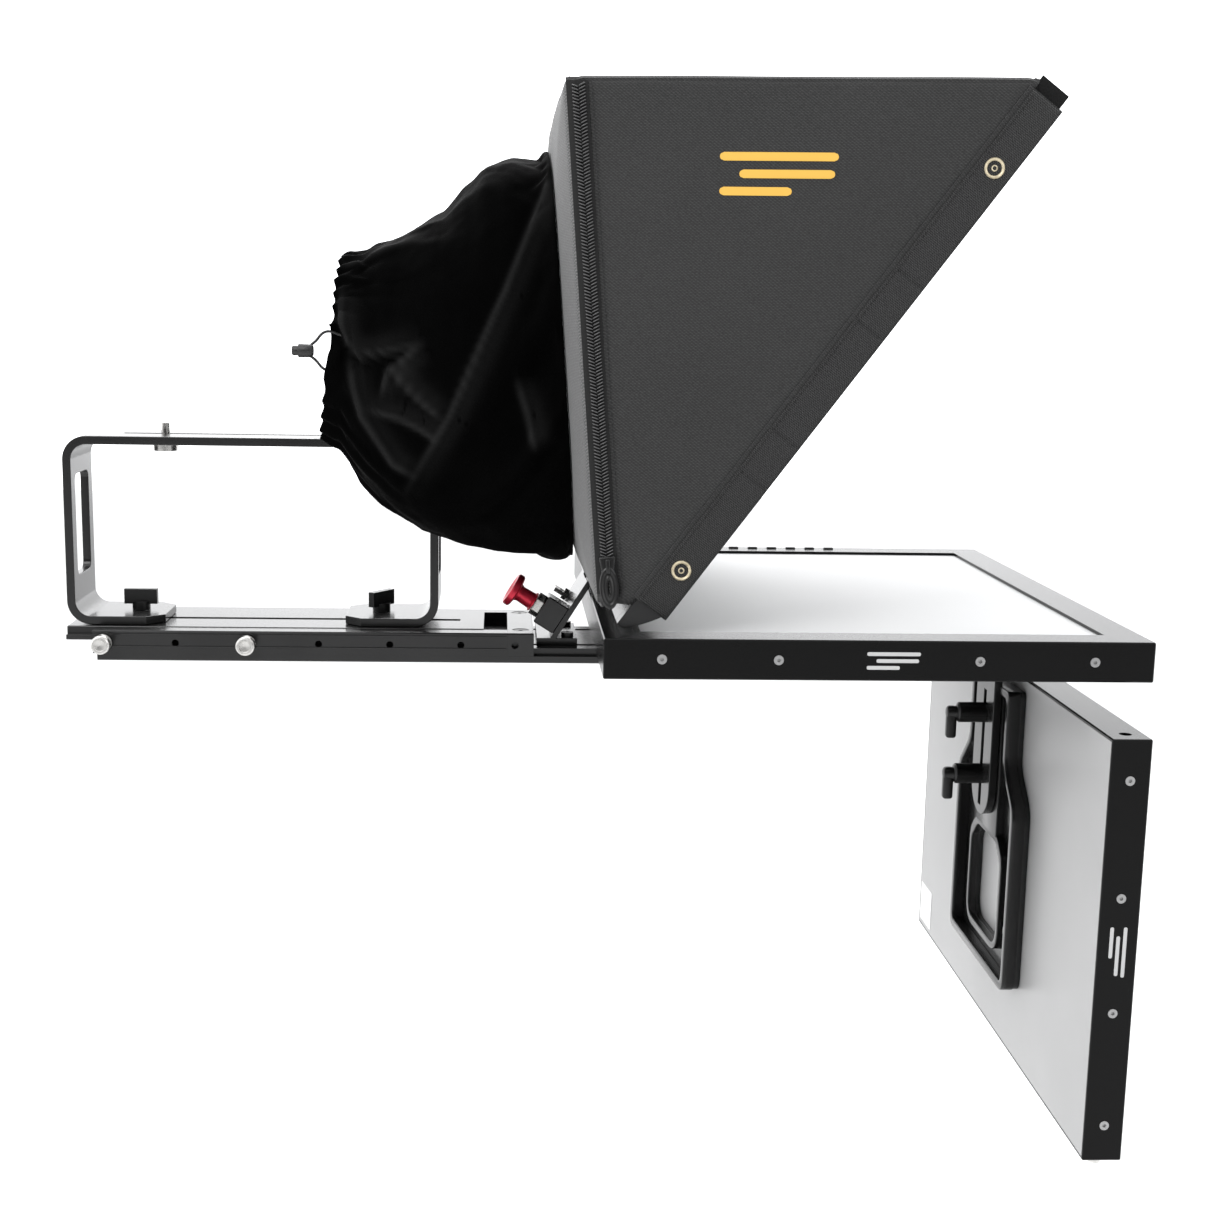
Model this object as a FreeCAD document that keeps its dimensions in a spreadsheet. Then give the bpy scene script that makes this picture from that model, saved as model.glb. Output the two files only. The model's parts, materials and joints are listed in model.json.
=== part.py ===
# Beam-splitter teleprompter with a talent monitor. Millimetres.
# Origin: tripod mount on the underside of the base rail. +X points at the talent, +Z up, Y is across.
import FreeCAD, Part
import Sketcher
import math
import os
import re

os.makedirs("parts", exist_ok=True)
doc = FreeCAD.newDocument("teleprompter")
vec = FreeCAD.Vector

SIZES = {
    # base rail, camera rail and end block
    "railHalf": 49.6, "baseStart": -157, "baseEnd": 498, "lipThick": 5, "ribInset": 5.6, "ribTop": 10,
    "outerStart": -160, "blockStart": 135, "blockEnd": 154, "railTop": 21.8, "floorTop": 12.5,
    "sideWall": 9.6, "grooveTop": 16.8, "lipOver": 4, "sideHole": 12.9, "holePitch": 50.8,
    "lockBore": 2.55, "tripodBore": 4.1, "spareBore": 2.6, "sparePitch": 25.4,
    # sliding camera plate and the riser on it
    "plateStart": -181, "plateEnd": 118, "slideGap": 0.3, "plateProud": 0.5, "plateSlot": 3.3,
    "channelHalf": 5.7, "riserStart": -181.4, "riserEnd": 84.8, "riserHalf": 32, "riserHigh": 135.5,
    "riserThick": 6, "riserBend": 17, "footLong": 68, "footInset": 46.5, "footCorner": 12,
    "windowHalf": 20, "windowLow": 34, "windowHigh": 107, "screwRadius": 3, "boltFit": 0.1,
    "cameraScrewAt": -114, "cameraScrew": 3.175, "cameraSlotEnd": 30, "cameraReach": 8, "threadStart": 0.5,
    "knobRadius": 6.4, "knobLong": 11.5,
    # hinge bracket and pull pin
    "bracketHalf": 31, "bracketGap": 2.5, "bracketLong": 29.5, "leafThick": 4, "leafLean": 58,
    "leafInset": 6.5, "hingeReach": 45, "hingeRise": 7, "barrelRadius": 4, "pinRadius": 2, "runFit": 0.05,
    "knuckleHalf": 11.7, "knuckleGap": 0.3, "blockLong": 22, "blockDeep": 17, "blockLow": 9.5,
    "pullAt": -20, "pullPin": 3, "springBore": 5, "discRadius": 12.5,
    # prompter monitor
    "deskReach": 40, "deskLong": 350, "deskHalf": 212, "deskBottom": 24, "deskThick": 26,
    "wall": 2, "bezel": 25, "buttonFar": 120.5, "buttonPitch": 16.5, "buttonEdge": 7.5,
    # glass frame
    "frameReach": 46, "frameRise": 0.5, "frameLean": 53.5, "frameInset": 22, "frameLong": 430,
    "frameDeep": 21, "frameWide": 12, "cheekEnd": 28, "glassThick": 3, "glassDrop": 8, "glassFit": 0.1,
    "baseBarThick": 5, "baseBarStart": 6, "baseBarEnd": 34,
    # hood and lens shroud
    "hoodBack": 4, "hoodTip": 24.5, "hoodRise": 15.5, "hoodUnder": 2.16, "hoodTaper": 30,
    "hoodInset": 5, "cloth": 4, "lensHalf": 100, "lensInset": 54, "lensRise": 26, "seamGap": 0.5,
    "velvet": 5, "hemX": 4, "hemHalf": 75, "hemLow": 151, "hemHigh": 290, "mouthWide": 14,
    "mouthDrop": 8, "mouthRise": 12, "tunnelTop": 163, "tunnelPast": 37.2,
    # hanger, talent monitor
    "hangerHalf": 23, "hangerThick": 6, "hangerGap": 0.7, "hangerLow": -125, "hangerSlotLow": -118,
    "hangerSlotHigh": -28, "talentGap": 10.9, "talentThick": 26, "talentHalf": 225, "talentTop": -9.7,
    "talentHigh": 286, "talentScreen": 204, "talentScreenHigh": 255, "neckHalf": 48, "shoulderHalf": 75,
    "upperKnob": -45.8, "lowerKnob": -93.8, "vesaHalf": 50,
}

# Places and sizes that follow from the ones above
TIED = {
    "ribHalf": "railHalf - ribInset", "grooveHalf": "railHalf - sideWall",
    "throatHalf": "grooveHalf - lipOver", "bracketFoot": "blockEnd + bracketGap",
    "bracketFootEnd": "bracketFoot + bracketLong", "leafStart": "bracketFoot + leafInset",
    "deskTop": "deskBottom + deskThick", "deskStart": "blockEnd + deskReach",
    "hingeX": "blockEnd + hingeReach", "hingeZ": "deskTop + hingeRise",
    "buttonFirst": "deskStart + buttonFar", "buttonY": "deskHalf - buttonEdge",
    "frameX": "blockEnd + frameReach", "frameZ": "deskTop + frameRise",
    "frameHalf": "deskHalf - frameInset", "hoodFootX": "frameX - hoodBack",
    "hoodFootZ": "frameZ + hoodRise", "hoodFootHalf": "frameHalf - hoodInset",
    "hoodTopX": "hoodFootX - hoodTip", "hoodTopHalf": "hoodFootHalf - hoodTaper",
    "lensLow": "hoodFootZ + lensRise",
    "mouthHalf": "lensHalf + mouthWide", "mouthLow": "lensLow - mouthDrop",
    "tunnelEnd": "riserEnd + tunnelPast",
    "hangerX": "baseEnd + hangerGap", "talentX": "hangerX + hangerThick + talentGap",
}

sheet = doc.addObject("Spreadsheet::Sheet", "Sizes")
for row, (alias, value) in enumerate(SIZES.items(), start=1):
    sheet.set("A%d" % row, str(value))
    sheet.setAlias("A%d" % row, alias)
doc.recompute()

ALIAS = re.compile(r"\b(%s)\b" % "|".join(SIZES))
KNOT = re.compile(r"\b(%s)\b" % "|".join(TIED))
nodes = []


def spelled(formula):
    """A formula with every tied name written out in the sheet's own names."""
    formula = str(formula)
    while KNOT.search(formula):
        formula = KNOT.sub(lambda found: "(%s)" % TIED[found.group(1)], formula)
    return formula


def size(name):
    return doc_value(name)


def bind(thing, prop, formula):
    thing.setExpression(prop, ALIAS.sub(r"Sizes.\1", spelled(formula)))


def keep(thing, label):
    thing.Label = label
    nodes.append(thing)
    return thing


def box(x, y, z):
    """A block between two formulas along each axis."""
    solid = doc.addObject("Part::Box", "block")
    for length, axis, (low, high) in (("Length", "x", x), ("Width", "y", y), ("Height", "z", z)):
        bind(solid, length, "(%s) - (%s)" % (high, low))
        bind(solid, "Placement.Base." + axis, low)
    return solid


TURNS = {"x": FreeCAD.Rotation(vec(0, 1, 0), 90), "y": FreeCAD.Rotation(vec(1, 0, 0), -90),
         "z": FreeCAD.Rotation()}


def rod(axis, radius, span, x=0, y=0, z=0):
    """A cylinder along one axis; span gives its two ends on that axis."""
    solid = doc.addObject("Part::Cylinder", "rod")
    bind(solid, "Radius", radius)
    bind(solid, "Height", "(%s) - (%s)" % (span[1], span[0]))
    solid.Placement = FreeCAD.Placement(vec(), TURNS[axis])
    for name, place in (("x", x), ("y", y), ("z", z)):
        bind(solid, "Placement.Base." + name, span[0] if name == axis else place)
    return solid


def join(*parts):
    fused = doc.addObject("Part::MultiFuse", "joined")
    fused.Shapes = list(parts)
    fused.Refine = True
    return fused


def cut(base, *tools):
    piece = doc.addObject("Part::Cut", "cut")
    piece.Base = base
    piece.Tool = tools[0] if len(tools) == 1 else join(*tools)
    piece.Refine = True
    return piece


def group(*parts):
    compound = doc.addObject("Part::Compound", "group")
    compound.Links = list(parts)
    return compound


def soften(base, radius, chooser, kind="Part::Chamfer"):
    """Chamfers or fillets the edges that chooser picks by their direction and middle."""
    doc.recompute()
    rounded = doc.addObject(kind, "softened")
    rounded.Base = base
    picked = []
    for number, edge in enumerate(base.Shape.Edges, start=1):
        if isinstance(edge.Curve, Part.Line) and chooser(edge.tangentAt(edge.FirstParameter),
                                                         edge.CenterOfMass):
            picked.append((number, radius, radius))
    rounded.Edges = picked
    return rounded


def along(axis):
    return lambda direction, middle: abs(abs(getattr(direction, axis)) - 1) < 1e-6


def feature(shape, placement=None):
    thing = doc.addObject("Part::Feature", "shaped")
    thing.Shape = shape
    if placement:
        thing.Placement = placement
    return thing


def polygon_prism(points, push):
    wire = Part.makePolygon([vec(*point) for point in points + [points[0]]])
    return Part.Face(wire).extrude(vec(*push))


def plate_body(name, plane, points, low, high):
    """A PartDesign body padded from an outline whose corners are bound to the sheet."""
    body = doc.addObject("PartDesign::Body", name)
    sketch = body.newObject("Sketcher::SketchObject", name + "Outline")
    origin = [item for item in body.Origin.OriginFeatures if item.Role == plane][0]
    sketch.AttachmentSupport = [(origin, "")]
    sketch.MapMode = "FlatFace"
    values = [[doc_value(part) for part in point] for point in points]
    for number, start in enumerate(values):
        end = values[(number + 1) % len(values)]
        sketch.addGeometry(Part.LineSegment(vec(*start, 0), vec(*end, 0)))
    for number in range(len(points)):
        after = (number + 1) % len(points)
        sketch.addConstraint(Sketcher.Constraint("Coincident", number, 2, after, 1))
    for number, point in enumerate(points):
        for kind, part, value in zip(("DistanceX", "DistanceY"), point, values[number]):
            place = sketch.addConstraint(Sketcher.Constraint(kind, -1, 1, number, 1, value))
            bind(sketch, "Constraints[%d]" % place, part)
    bind(sketch, "AttachmentOffset.Base.z", low)
    pad = body.newObject("PartDesign::Pad", name + "Pad")
    pad.Profile = sketch
    bind(pad, "Length", "(%s) - (%s)" % (high, low))
    body.Tip = pad
    return body


def doc_value(formula):
    """The present value of a formula of sheet names."""
    if isinstance(formula, (int, float)):
        return float(formula)
    probe = ALIAS.sub(lambda found: "(%s)" % sheet.get(found.group(1)), spelled(formula))
    return float(FreeCAD.Units.parseQuantity(probe))


# ---------------------------------------------------------------- rails
def make_base_rail():
    lip = box(("baseStart", "baseEnd"), ("-railHalf", "railHalf"), (0, "lipThick"))
    rib = box(("baseStart", "baseEnd"), ("-ribHalf", "ribHalf"), ("lipThick", "ribTop"))
    profile = soften(join(lip, rib), 0.8, lambda way, mid: abs(abs(way.x) - 1) < 1e-6
                     and mid.z < 1)
    holes = [rod("z", "tripodBore", (-1, "ribTop + 1"))]
    for side in (-1, 1):
        holes.append(rod("z", "spareBore", (-1, "ribTop + 1"), x="%d * sparePitch" % side))
    grooves = [box(("baseStart - 1", "baseEnd + 1"), ("%d" % (low - 3), "%d" % (low + 3)),
                   ("ribTop - 2.5", "ribTop + 1")) for low in (-30, 30)]
    keep(cut(profile, *holes, *grooves), "base_rail")


def side_bores(places, inner="grooveHalf"):
    bores = []
    for place in places:
        bores.append(rod("y", "lockBore", ("-railHalf - 1", "-(%s)" % inner), x=place, z="sideHole"))
        bores.append(rod("y", "lockBore", (inner, "railHalf + 1"), x=place, z="sideHole"))
    return bores


def make_outer_rail():
    shell = box(("outerStart", "blockStart"), ("-railHalf", "railHalf"), ("lipThick", "railTop"))
    shell = soften(shell, 0.8, lambda way, mid: abs(abs(way.x) - 1) < 1e-6 and mid.z > 15)
    under = box(("outerStart - 1", "blockStart + 1"), ("-ribHalf - 0.1", "ribHalf + 0.1"),
                ("lipThick - 1", "ribTop"))
    groove = box(("outerStart - 1", "blockStart + 1"), ("-grooveHalf", "grooveHalf"),
                 ("floorTop", "grooveTop"))
    throat = box(("outerStart - 1", "blockStart + 1"), ("-throatHalf", "throatHalf"),
                 ("grooveTop - 1", "railTop + 1"))
    bores = side_bores(["%d * holePitch" % step for step in (-3, -2, -1, 0, 1, 2)])
    keep(cut(shell, under, groove, throat, *bores), "outer_rail")


def make_end_block():
    block = box(("blockStart", "blockEnd"), ("-railHalf", "railHalf"), ("lipThick", "railTop"))
    block = soften(block, 0.8, lambda way, mid: mid.z > 21 and abs(way.z) < 0.5
                   and mid.x > 136)
    under = box(("blockStart - 1", "blockEnd + 1"), ("-ribHalf - 0.1", "ribHalf + 0.1"),
                ("lipThick - 1", "ribTop"))
    wells = []
    for side in (-1, 1):
        place = "%d * (railHalf - 14)" % side
        wells.append(rod("z", "screwRadius", ("ribTop - 1", "railTop + 1"), x="blockStart + 9.5", y=place))
        wells.append(rod("z", "2 * screwRadius", ("railTop - 3", "railTop + 1"), x="blockStart + 9.5",
                         y=place))
    bores = side_bores(["(blockStart + blockEnd) / 2 - 4"], "railHalf - 6")
    keep(cut(block, under, *wells, *bores), "rail_end_block")


def make_rail_screws():
    """Countersunk screws of the end block, bracket foot and hanger, all of one size."""
    screws = []
    for side in (-1, 1):
        place = "%d * (railHalf - 14)" % side
        stem = rod("z", "screwRadius - 0.05", ("ribTop + 0.2", "railTop - 3"), x="blockStart + 9.5",
                   y=place)
        head = rod("z", "2 * screwRadius - 0.2", ("railTop - 3", "railTop - 0.3"),
                   x="blockStart + 9.5", y=place)
        screws.append(cut(join(stem, head), rod("z", 1.6, ("railTop - 2", "railTop"),
                                                x="blockStart + 9.5", y=place)))
        foot = "%d * (bracketHalf - 9)" % side
        screws.append(cut(rod("z", 4.5, ("ribTop + 5", "ribTop + 8"), x="bracketFootEnd - 7", y=foot),
                          rod("z", 1.6, ("ribTop + 6.5", "ribTop + 9"), x="bracketFootEnd - 7", y=foot)))
        hang = "%d * (hangerHalf - 9)" % side
        screws.append(cut(rod("z", 4.5, ("-hangerThick - 3", "-hangerThick"), x="hangerX - 38", y=hang),
                          rod("z", 1.6, ("-hangerThick - 4", "-hangerThick - 1.5"), x="hangerX - 38",
                              y=hang)))
    keep(group(*screws), "rail_screws")


def make_camera_plate():
    tongue = box(("plateStart", "plateEnd"), ("-grooveHalf + slideGap", "grooveHalf - slideGap"),
                 ("floorTop + slideGap", "grooveTop - slideGap"))
    deck = box(("plateStart", "plateEnd"), ("-throatHalf + slideGap", "throatHalf - slideGap"),
               ("grooveTop - slideGap - 1", "railTop + plateProud"))
    slot = box(("plateStart + 9", "plateEnd - 18"), ("-plateSlot", "plateSlot"), (0, "railTop + 9"))
    channel = box(("plateStart - 1", "plateEnd - 12"), ("-channelHalf", "channelHalf"),
                  ("floorTop - 1", "grooveTop"))
    whole = soften(join(tongue, deck), 0.6, lambda way, mid: mid.z > 22)
    keep(cut(whole, slot, channel), "camera_plate")


def make_rail_knobs():
    for label, place in (("rail_knob_rear", "-3 * holePitch"), ("rail_knob_front", "-holePitch")):
        stem = rod("y", "lockBore - runFit", ("-railHalf - 1", "-grooveHalf - 0.2"), x=place, z="sideHole")
        grip = rod("y", "knobRadius", ("-railHalf - 0.5 - knobLong", "-railHalf - 0.5"), x=place,
                   z="sideHole")
        keep(join(stem, grip), label)


# ---------------------------------------------------------------- riser
FOOT = "railTop + plateProud + slideGap"
REAR_SCREW = "riserStart + footInset"
FRONT_SCREW = "riserEnd - footInset + 3.4"


def make_riser():
    top = FOOT + " + riserHigh"
    outside = soften(box(("riserStart", "riserEnd"), ("-riserHalf", "riserHalf"), (FOOT, top)),
                     size("riserBend"), along("y"), "Part::Fillet")
    inside = soften(box(("riserStart + riserThick", "riserEnd - riserThick"),
                        ("-riserHalf - 1", "riserHalf + 1"),
                        (FOOT + " + riserThick", top + " - riserThick")),
                    size("riserBend") - size("riserThick"), along("y"), "Part::Fillet")
    gap = box(("riserStart + footLong", "riserEnd - footLong"), ("-riserHalf - 1", "riserHalf + 1"),
              (FOOT + " - 1", FOOT + " + riserThick + 1"))
    windows = soften(box(("riserStart - 1", "riserEnd + 1"), ("-windowHalf", "windowHalf"),
                         (FOOT + " + windowLow", FOOT + " + windowHigh")), 6, along("x"), "Part::Fillet")
    slot = box(("cameraScrewAt - 30", "cameraSlotEnd"), ("-cameraScrew - 0.3", "cameraScrew + 0.3"),
               (top + " - riserThick - 1", top + " + 1"))
    bolts = [rod("z", "screwRadius + boltFit", (FOOT + " - 1", FOOT + " + riserThick + 1"), x=place)
             for place in (REAR_SCREW, FRONT_SCREW)]
    corners = []
    low, deep, reach = doc_value(FOOT) - 1, size("riserThick") + 2, size("footCorner")
    for tip, way in ((size("riserStart") + size("footLong"), 1), (size("riserEnd") - size("footLong"), -1)):
        for side in (-1, 1):
            edge = side * size("riserHalf")
            corners.append(feature(polygon_prism([(tip + way, edge - side * reach, low),
                                                  (tip + way, edge + side, low),
                                                  (tip - way * reach, edge + side, low),
                                                  (tip - way * reach, edge, low)], (0, 0, deep))))
    keep(cut(outside, inside, gap, windows, slot, *bolts, *corners), "camera_riser")


def make_riser_screws():
    for label, place, turn in (("riser_screw_rear", REAR_SCREW, 0), ("riser_screw_front", FRONT_SCREW, 55)):
        seat = FOOT + " + riserThick + 0.3"
        stem = rod("z", "screwRadius", ("floorTop + 1", seat + " + 1"), x=place)
        collar = rod("z", "channelHalf - 0.6", ("floorTop + 0.8", "grooveTop - 0.6"), x=place)
        hub = rod("z", 6.5, (seat, seat + " + 6"), x=place)
        at = doc_value(place)
        wings = feature(Part.makeBox(24, 5, 11, vec(-12, -2.5, 0)),
                        FreeCAD.Placement(vec(at, 0, doc_value(seat) + 4),
                                          FreeCAD.Rotation(vec(0, 0, 1), turn)))
        keep(join(stem, collar, hub, wings), label)


def make_camera_screw():
    under = FOOT + " + riserHigh - riserThick - 0.3"
    deck = FOOT + " + riserHigh"
    thread = rod("z", "cameraScrew", (deck + " + threadStart", deck + " + cameraReach"), x="cameraScrewAt")
    shank = rod("z", "cameraScrew - 0.4", (under + " - 1", deck + " + threadStart + 0.5"), x="cameraScrewAt")
    grip = rod("z", 9, (under + " - 6", under), x="cameraScrewAt")
    keep(join(thread, shank, grip), "camera_screw")


# ---------------------------------------------------------------- hinge bracket and pull pin
LEAF_TURN = FreeCAD.Rotation(vec(0, 1, 0), -size("leafLean"))
LEAF_FOOT = vec(size("leafStart"), 0, size("ribTop"))
LEAF = FreeCAD.Placement(LEAF_FOOT, LEAF_TURN)


def leaf_rod(radius, near, far, up, y):
    """A cylinder square to the leaning leaf, from near to far off its face, up the leaf."""
    return feature(Part.makeCylinder(radius, far - near, vec(up, y, near)), LEAF)


def make_bracket():
    lean = math.radians(size("leafLean"))
    thick = size("leafThick") / math.sin(lean)
    foot, low, high = size("leafStart"), size("ribTop"), size("hingeZ")
    drift = (high - low) / math.tan(lean)
    half = size("bracketHalf")
    leaf = feature(polygon_prism([(foot, -half, low), (foot + thick, -half, low),
                                  (foot + thick + drift, -half, high), (foot + drift, -half, high)],
                                 (0, 2 * half, 0)))
    base = box(("bracketFoot", "bracketFootEnd"), ("-bracketHalf", "bracketHalf"), ("ribTop", "ribTop + 5"))
    barrel = rod("y", "barrelRadius", ("-bracketHalf", "bracketHalf"), x="hingeX", z="hingeZ")
    lugs = box(("hingeX - barrelRadius - 2", "hingeX"), ("-bracketHalf", "bracketHalf"),
               ("hingeZ - 2", "hingeZ + 2"))
    notch = box(("hingeX - barrelRadius - 3", "hingeX + 9"),
                ("-knuckleHalf - knuckleGap", "knuckleHalf + knuckleGap"), ("hingeZ - 6", "hingeZ + 9"))
    bore = rod("y", "pinRadius + runFit", ("-bracketHalf - 1", "bracketHalf + 1"), x="hingeX", z="hingeZ")
    pull = leaf_rod(size("pullPin") + size("runFit"), -9, 1, size("blockLow") + size("blockLong") / 2,
                    size("pullAt"))
    wing = leaf_rod(2.05, -9, 1, 33, -size("pullAt"))
    keep(cut(join(leaf, base, barrel, lugs), notch, bore, pull, wing), "tilt_bracket")


def make_pull_pin():
    up, y = size("blockLow") + size("blockLong") / 2, size("pullAt")
    deep, long, pin = size("blockDeep"), size("blockLong"), size("pullPin")
    block = feature(Part.makeBox(long, long, deep, vec(size("blockLow"), y - long / 2, 0)), LEAF)
    block = soften(block, 0.7, lambda way, mid: True)
    well = leaf_rod(size("springBore"), 4, deep + 1, up, y)
    bore = leaf_rod(pin + size("runFit"), -1, 5, up, y)
    keep(cut(block, well, bore), "plunger_block")
    nut = feature(Part.Face(Part.makePolygon([vec(up + 9 * math.cos(math.radians(60 * corner)),
                                                  y + 9 * math.sin(math.radians(60 * corner)), deep)
                                              for corner in range(7)])).extrude(vec(0, 0, 6)), LEAF)
    keep(cut(nut, leaf_rod(pin + size("runFit"), deep - 1, deep + 9, up, y)), "plunger_nut")
    stem = leaf_rod(pin, -size("leafThick"), deep + 16, up, y)
    keep(stem, "plunger_pin")
    sleeve = Part.makeCylinder(6.2, 16, vec(up, y, deep + 6.5))
    disc = Part.makeCylinder(size("discRadius"), 3.5, vec(up, y, deep + 22.5))
    hollow = Part.makeCylinder(pin, 16 - 6.5, vec(up, y, deep + 6.5))
    keep(feature(sleeve.fuse(disc).cut(hollow).removeSplitter(), LEAF), "plunger_knob")
    coil = Part.makeHelix(2.2, deep - 6.5, 4)
    wire = Part.Wire(Part.makeCircle(0.45, vec(4, 0, 0), vec(0, 1, 0.09)))
    spring = Part.Wire(coil.Edges).makePipeShell([wire], True, True)
    seated = FreeCAD.Placement(vec(up, y, 5), FreeCAD.Rotation())
    keep(feature(spring, LEAF * seated), "plunger_spring")
    screw = Part.makeCylinder(2, 12, vec(33, -y, -size("leafThick")))
    hub = Part.makeCylinder(4.5, 4, vec(33, -y, 0.4))
    wings = Part.makeBox(3, 15, 9, vec(31.5, -y - 7.5, 3))
    keep(feature(screw.fuse([hub, wings]).removeSplitter(), LEAF), "wing_screw")


def make_hinge_pin():
    keep(rod("y", "pinRadius", ("-bracketHalf", "bracketHalf"), x="hingeX", z="hingeZ"), "hinge_pin")


# ---------------------------------------------------------------- prompter monitor
DESK_TOP = "deskBottom + deskThick"
DESK_END = "deskStart + deskLong"
DESK_SCREWS = [0.105, 0.315, 0.68, 0.89]


def make_mount_plate():
    deck = box(("deskStart + 16", "deskStart + 296"), (-60, 60), ("deskBottom - 4", "deskBottom"))
    runners = [box(("deskStart + 16", "deskStart + 296"), (low, low + 10), ("ribTop", "deskBottom - 4"))
               for low in (-43, -5, 33)]
    keep(join(deck, *runners), "monitor_mount_plate")


def screw_rows(x, y, z, reach, radius):
    """Side screws on both ends of a monitor: rods along Y from the outer face inwards."""
    rods = []
    for place_x, place_z in zip(x, z):
        rods.append(rod("y", radius, ("-(%s)" % y, "-(%s) + (%s)" % (y, reach)), x=place_x, z=place_z))
        rods.append(rod("y", radius, ("(%s) - (%s)" % (y, reach), y), x=place_x, z=place_z))
    return rods


def make_prompter_monitor():
    middle = "deskBottom + deskThick / 2"
    x = ["deskStart + %s * deskLong" % share for share in DESK_SCREWS]
    shell = soften(box(("deskStart", DESK_END), ("-deskHalf", "deskHalf"), ("deskBottom", DESK_TOP)), 0.8,
                   lambda way, mid: True)
    inside = box(("deskStart + wall", DESK_END + " - wall"), ("-deskHalf + wall", "deskHalf - wall"),
                 ("deskBottom - 1", DESK_TOP + " - wall"))
    window = box(("deskStart + bezel", DESK_END + " - bezel"), ("-deskHalf + bezel", "deskHalf - bezel"),
                 (DESK_TOP + " - wall - 1", DESK_TOP + " + 1"))
    holes = screw_rows(x, "deskHalf + 1", [middle] * 4, "wall + 2", 3.15)
    buttons = []
    for number in range(7):
        at = "buttonFirst + %d * buttonPitch" % number
        buttons.append(box((at + " - 4.3", at + " + 4.3"), ("buttonY - 1.8", "buttonY + 1.8"),
                           (DESK_TOP + " - wall - 1", DESK_TOP + " + 1")))
        cap = box((at + " - 4", at + " + 4"), ("buttonY - 1.5", "buttonY + 1.5"),
                  (DESK_TOP + " - wall - 1.8", DESK_TOP + " + 1.3"))
        keep(soften(cap, 0.4, lambda way, mid: mid.z > doc_value(DESK_TOP) + 1.2), "button_%d" % (number + 1))
    keep(cut(shell, inside, window, *holes, *buttons), "prompter_frame")
    keep(box(("deskStart + wall + 0.2", DESK_END + " - wall - 0.2"),
             ("-deskHalf + wall + 0.2", "deskHalf - wall - 0.2"), ("deskBottom", "deskBottom + wall")),
         "prompter_back_cover")
    keep(box(("deskStart + bezel - 14", DESK_END + " - bezel + 14"),
             ("-deskHalf + bezel - 12", "deskHalf - bezel + 12"),
             (DESK_TOP + " - 12", DESK_TOP + " - wall - 0.3")), "prompter_panel")
    board = box(("deskStart + 90", "deskStart + 240"), (-90, 70), ("deskBottom + 4", "deskBottom + 6"))
    sockets = [box(("deskStart + 90", "deskStart + 106"), (low, low + 16), ("deskBottom + 6", "deskBottom + 11"))
               for low in (-80, -50, -20, 10, 40)]
    keep(join(board, *sockets), "prompter_board")
    keep(group(*[cut(head, socket) for head, socket in
                 zip(screw_rows(x, "deskHalf + 0.4", [middle] * 4, "wall + 0.4", 3.1),
                     screw_rows(x, "deskHalf + 0.5", [middle] * 4, 1.3, 1.2))]), "prompter_side_screws")


# ---------------------------------------------------------------- glass frame
FRAME = FreeCAD.Placement(vec(size("frameX"), 0, size("frameZ")),
                          FreeCAD.Rotation(vec(0, 1, 0), -size("frameLean")))


def frame_block(s, y, w):
    """A block along the leaning frame: s up the slope, w below its rear face."""
    return Part.makeBox(s[1] - s[0], y[1] - y[0], w[1] - w[0], vec(s[0], y[0], -w[1]))


def make_glass_frame():
    long, deep, wide, half = (size(name) for name in ("frameLong", "frameDeep", "frameWide", "frameHalf"))
    start, cheek, bar = size("baseBarStart"), size("cheekEnd"), size("baseBarThick")
    drop, thick, fit = size("glassDrop"), size("glassThick"), size("glassFit")
    inner = half - wide
    glass_low, glass_high, glass_half = cheek - 0.7, long - 3.3, inner + 3.9
    slot = frame_block((glass_low - fit, glass_high + fit), (-glass_half - fit, glass_half + fit),
                       (drop - fit, drop + thick + fit))
    for label, low in (("frame_side_near", -half), ("frame_side_far", inner)):
        edges = [Part.makeLine(vec(start, low, 0), vec(long, low, 0)),
                 Part.makeLine(vec(long, low, 0), vec(long, low, -deep)),
                 Part.makeLine(vec(long, low, -deep), vec(cheek, low, -deep)),
                 Part.Arc(vec(cheek, low, -deep), vec((start + cheek) / 2 - 1, low, -(bar + deep) / 2 - 0.5),
                          vec(start, low, -bar)).toShape(),
                 Part.makeLine(vec(start, low, -bar), vec(start, low, 0))]
        side = Part.Face(Part.Wire(edges)).extrude(vec(0, wide, 0)).cut(slot)
        keep(feature(side, FRAME), label)
    shut = inner - 0.1
    base = frame_block((start, size("baseBarEnd")), (-shut, shut), (0, bar))
    lip = frame_block((cheek - 4, cheek + 2), (-shut, shut), (bar - 1, deep))
    knuckle = size("knuckleHalf")
    hinge = FRAME.inverse().multVec(vec(size("hingeX"), 0, size("hingeZ")))
    barrel = Part.makeCylinder(size("barrelRadius"), 2 * knuckle, vec(hinge.x, -knuckle, hinge.z), vec(0, 1, 0))
    leaf = frame_block((hinge.x, start + 8), (-knuckle, knuckle), (-size("leafThick"), bar - 1))
    bore = Part.makeCylinder(size("pinRadius") + size("runFit"), 2 * knuckle + 2,
                             vec(hinge.x, -knuckle - 1, hinge.z), vec(0, 1, 0))
    keep(feature(base.fuse([lip, barrel, leaf]).cut(slot.fuse(bore)).removeSplitter(), FRAME),
         "frame_base_bar")
    keep(feature(frame_block((long - wide, long), (-shut, shut), (0, deep)).cut(slot), FRAME),
         "frame_top_bar")
    keep(feature(frame_block((glass_low, glass_high), (-glass_half, glass_half), (drop, drop + thick)),
                 FRAME), "beam_splitter")


# ---------------------------------------------------------------- hood
def hood_top():
    """Height of the hood's top, just under the glass frame's upper end."""
    return size("frameZ") + size("frameLong") * math.sin(math.radians(size("frameLean"))) - size("hoodUnder")


def lens_top():
    return hood_top() - size("lensInset")


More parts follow.
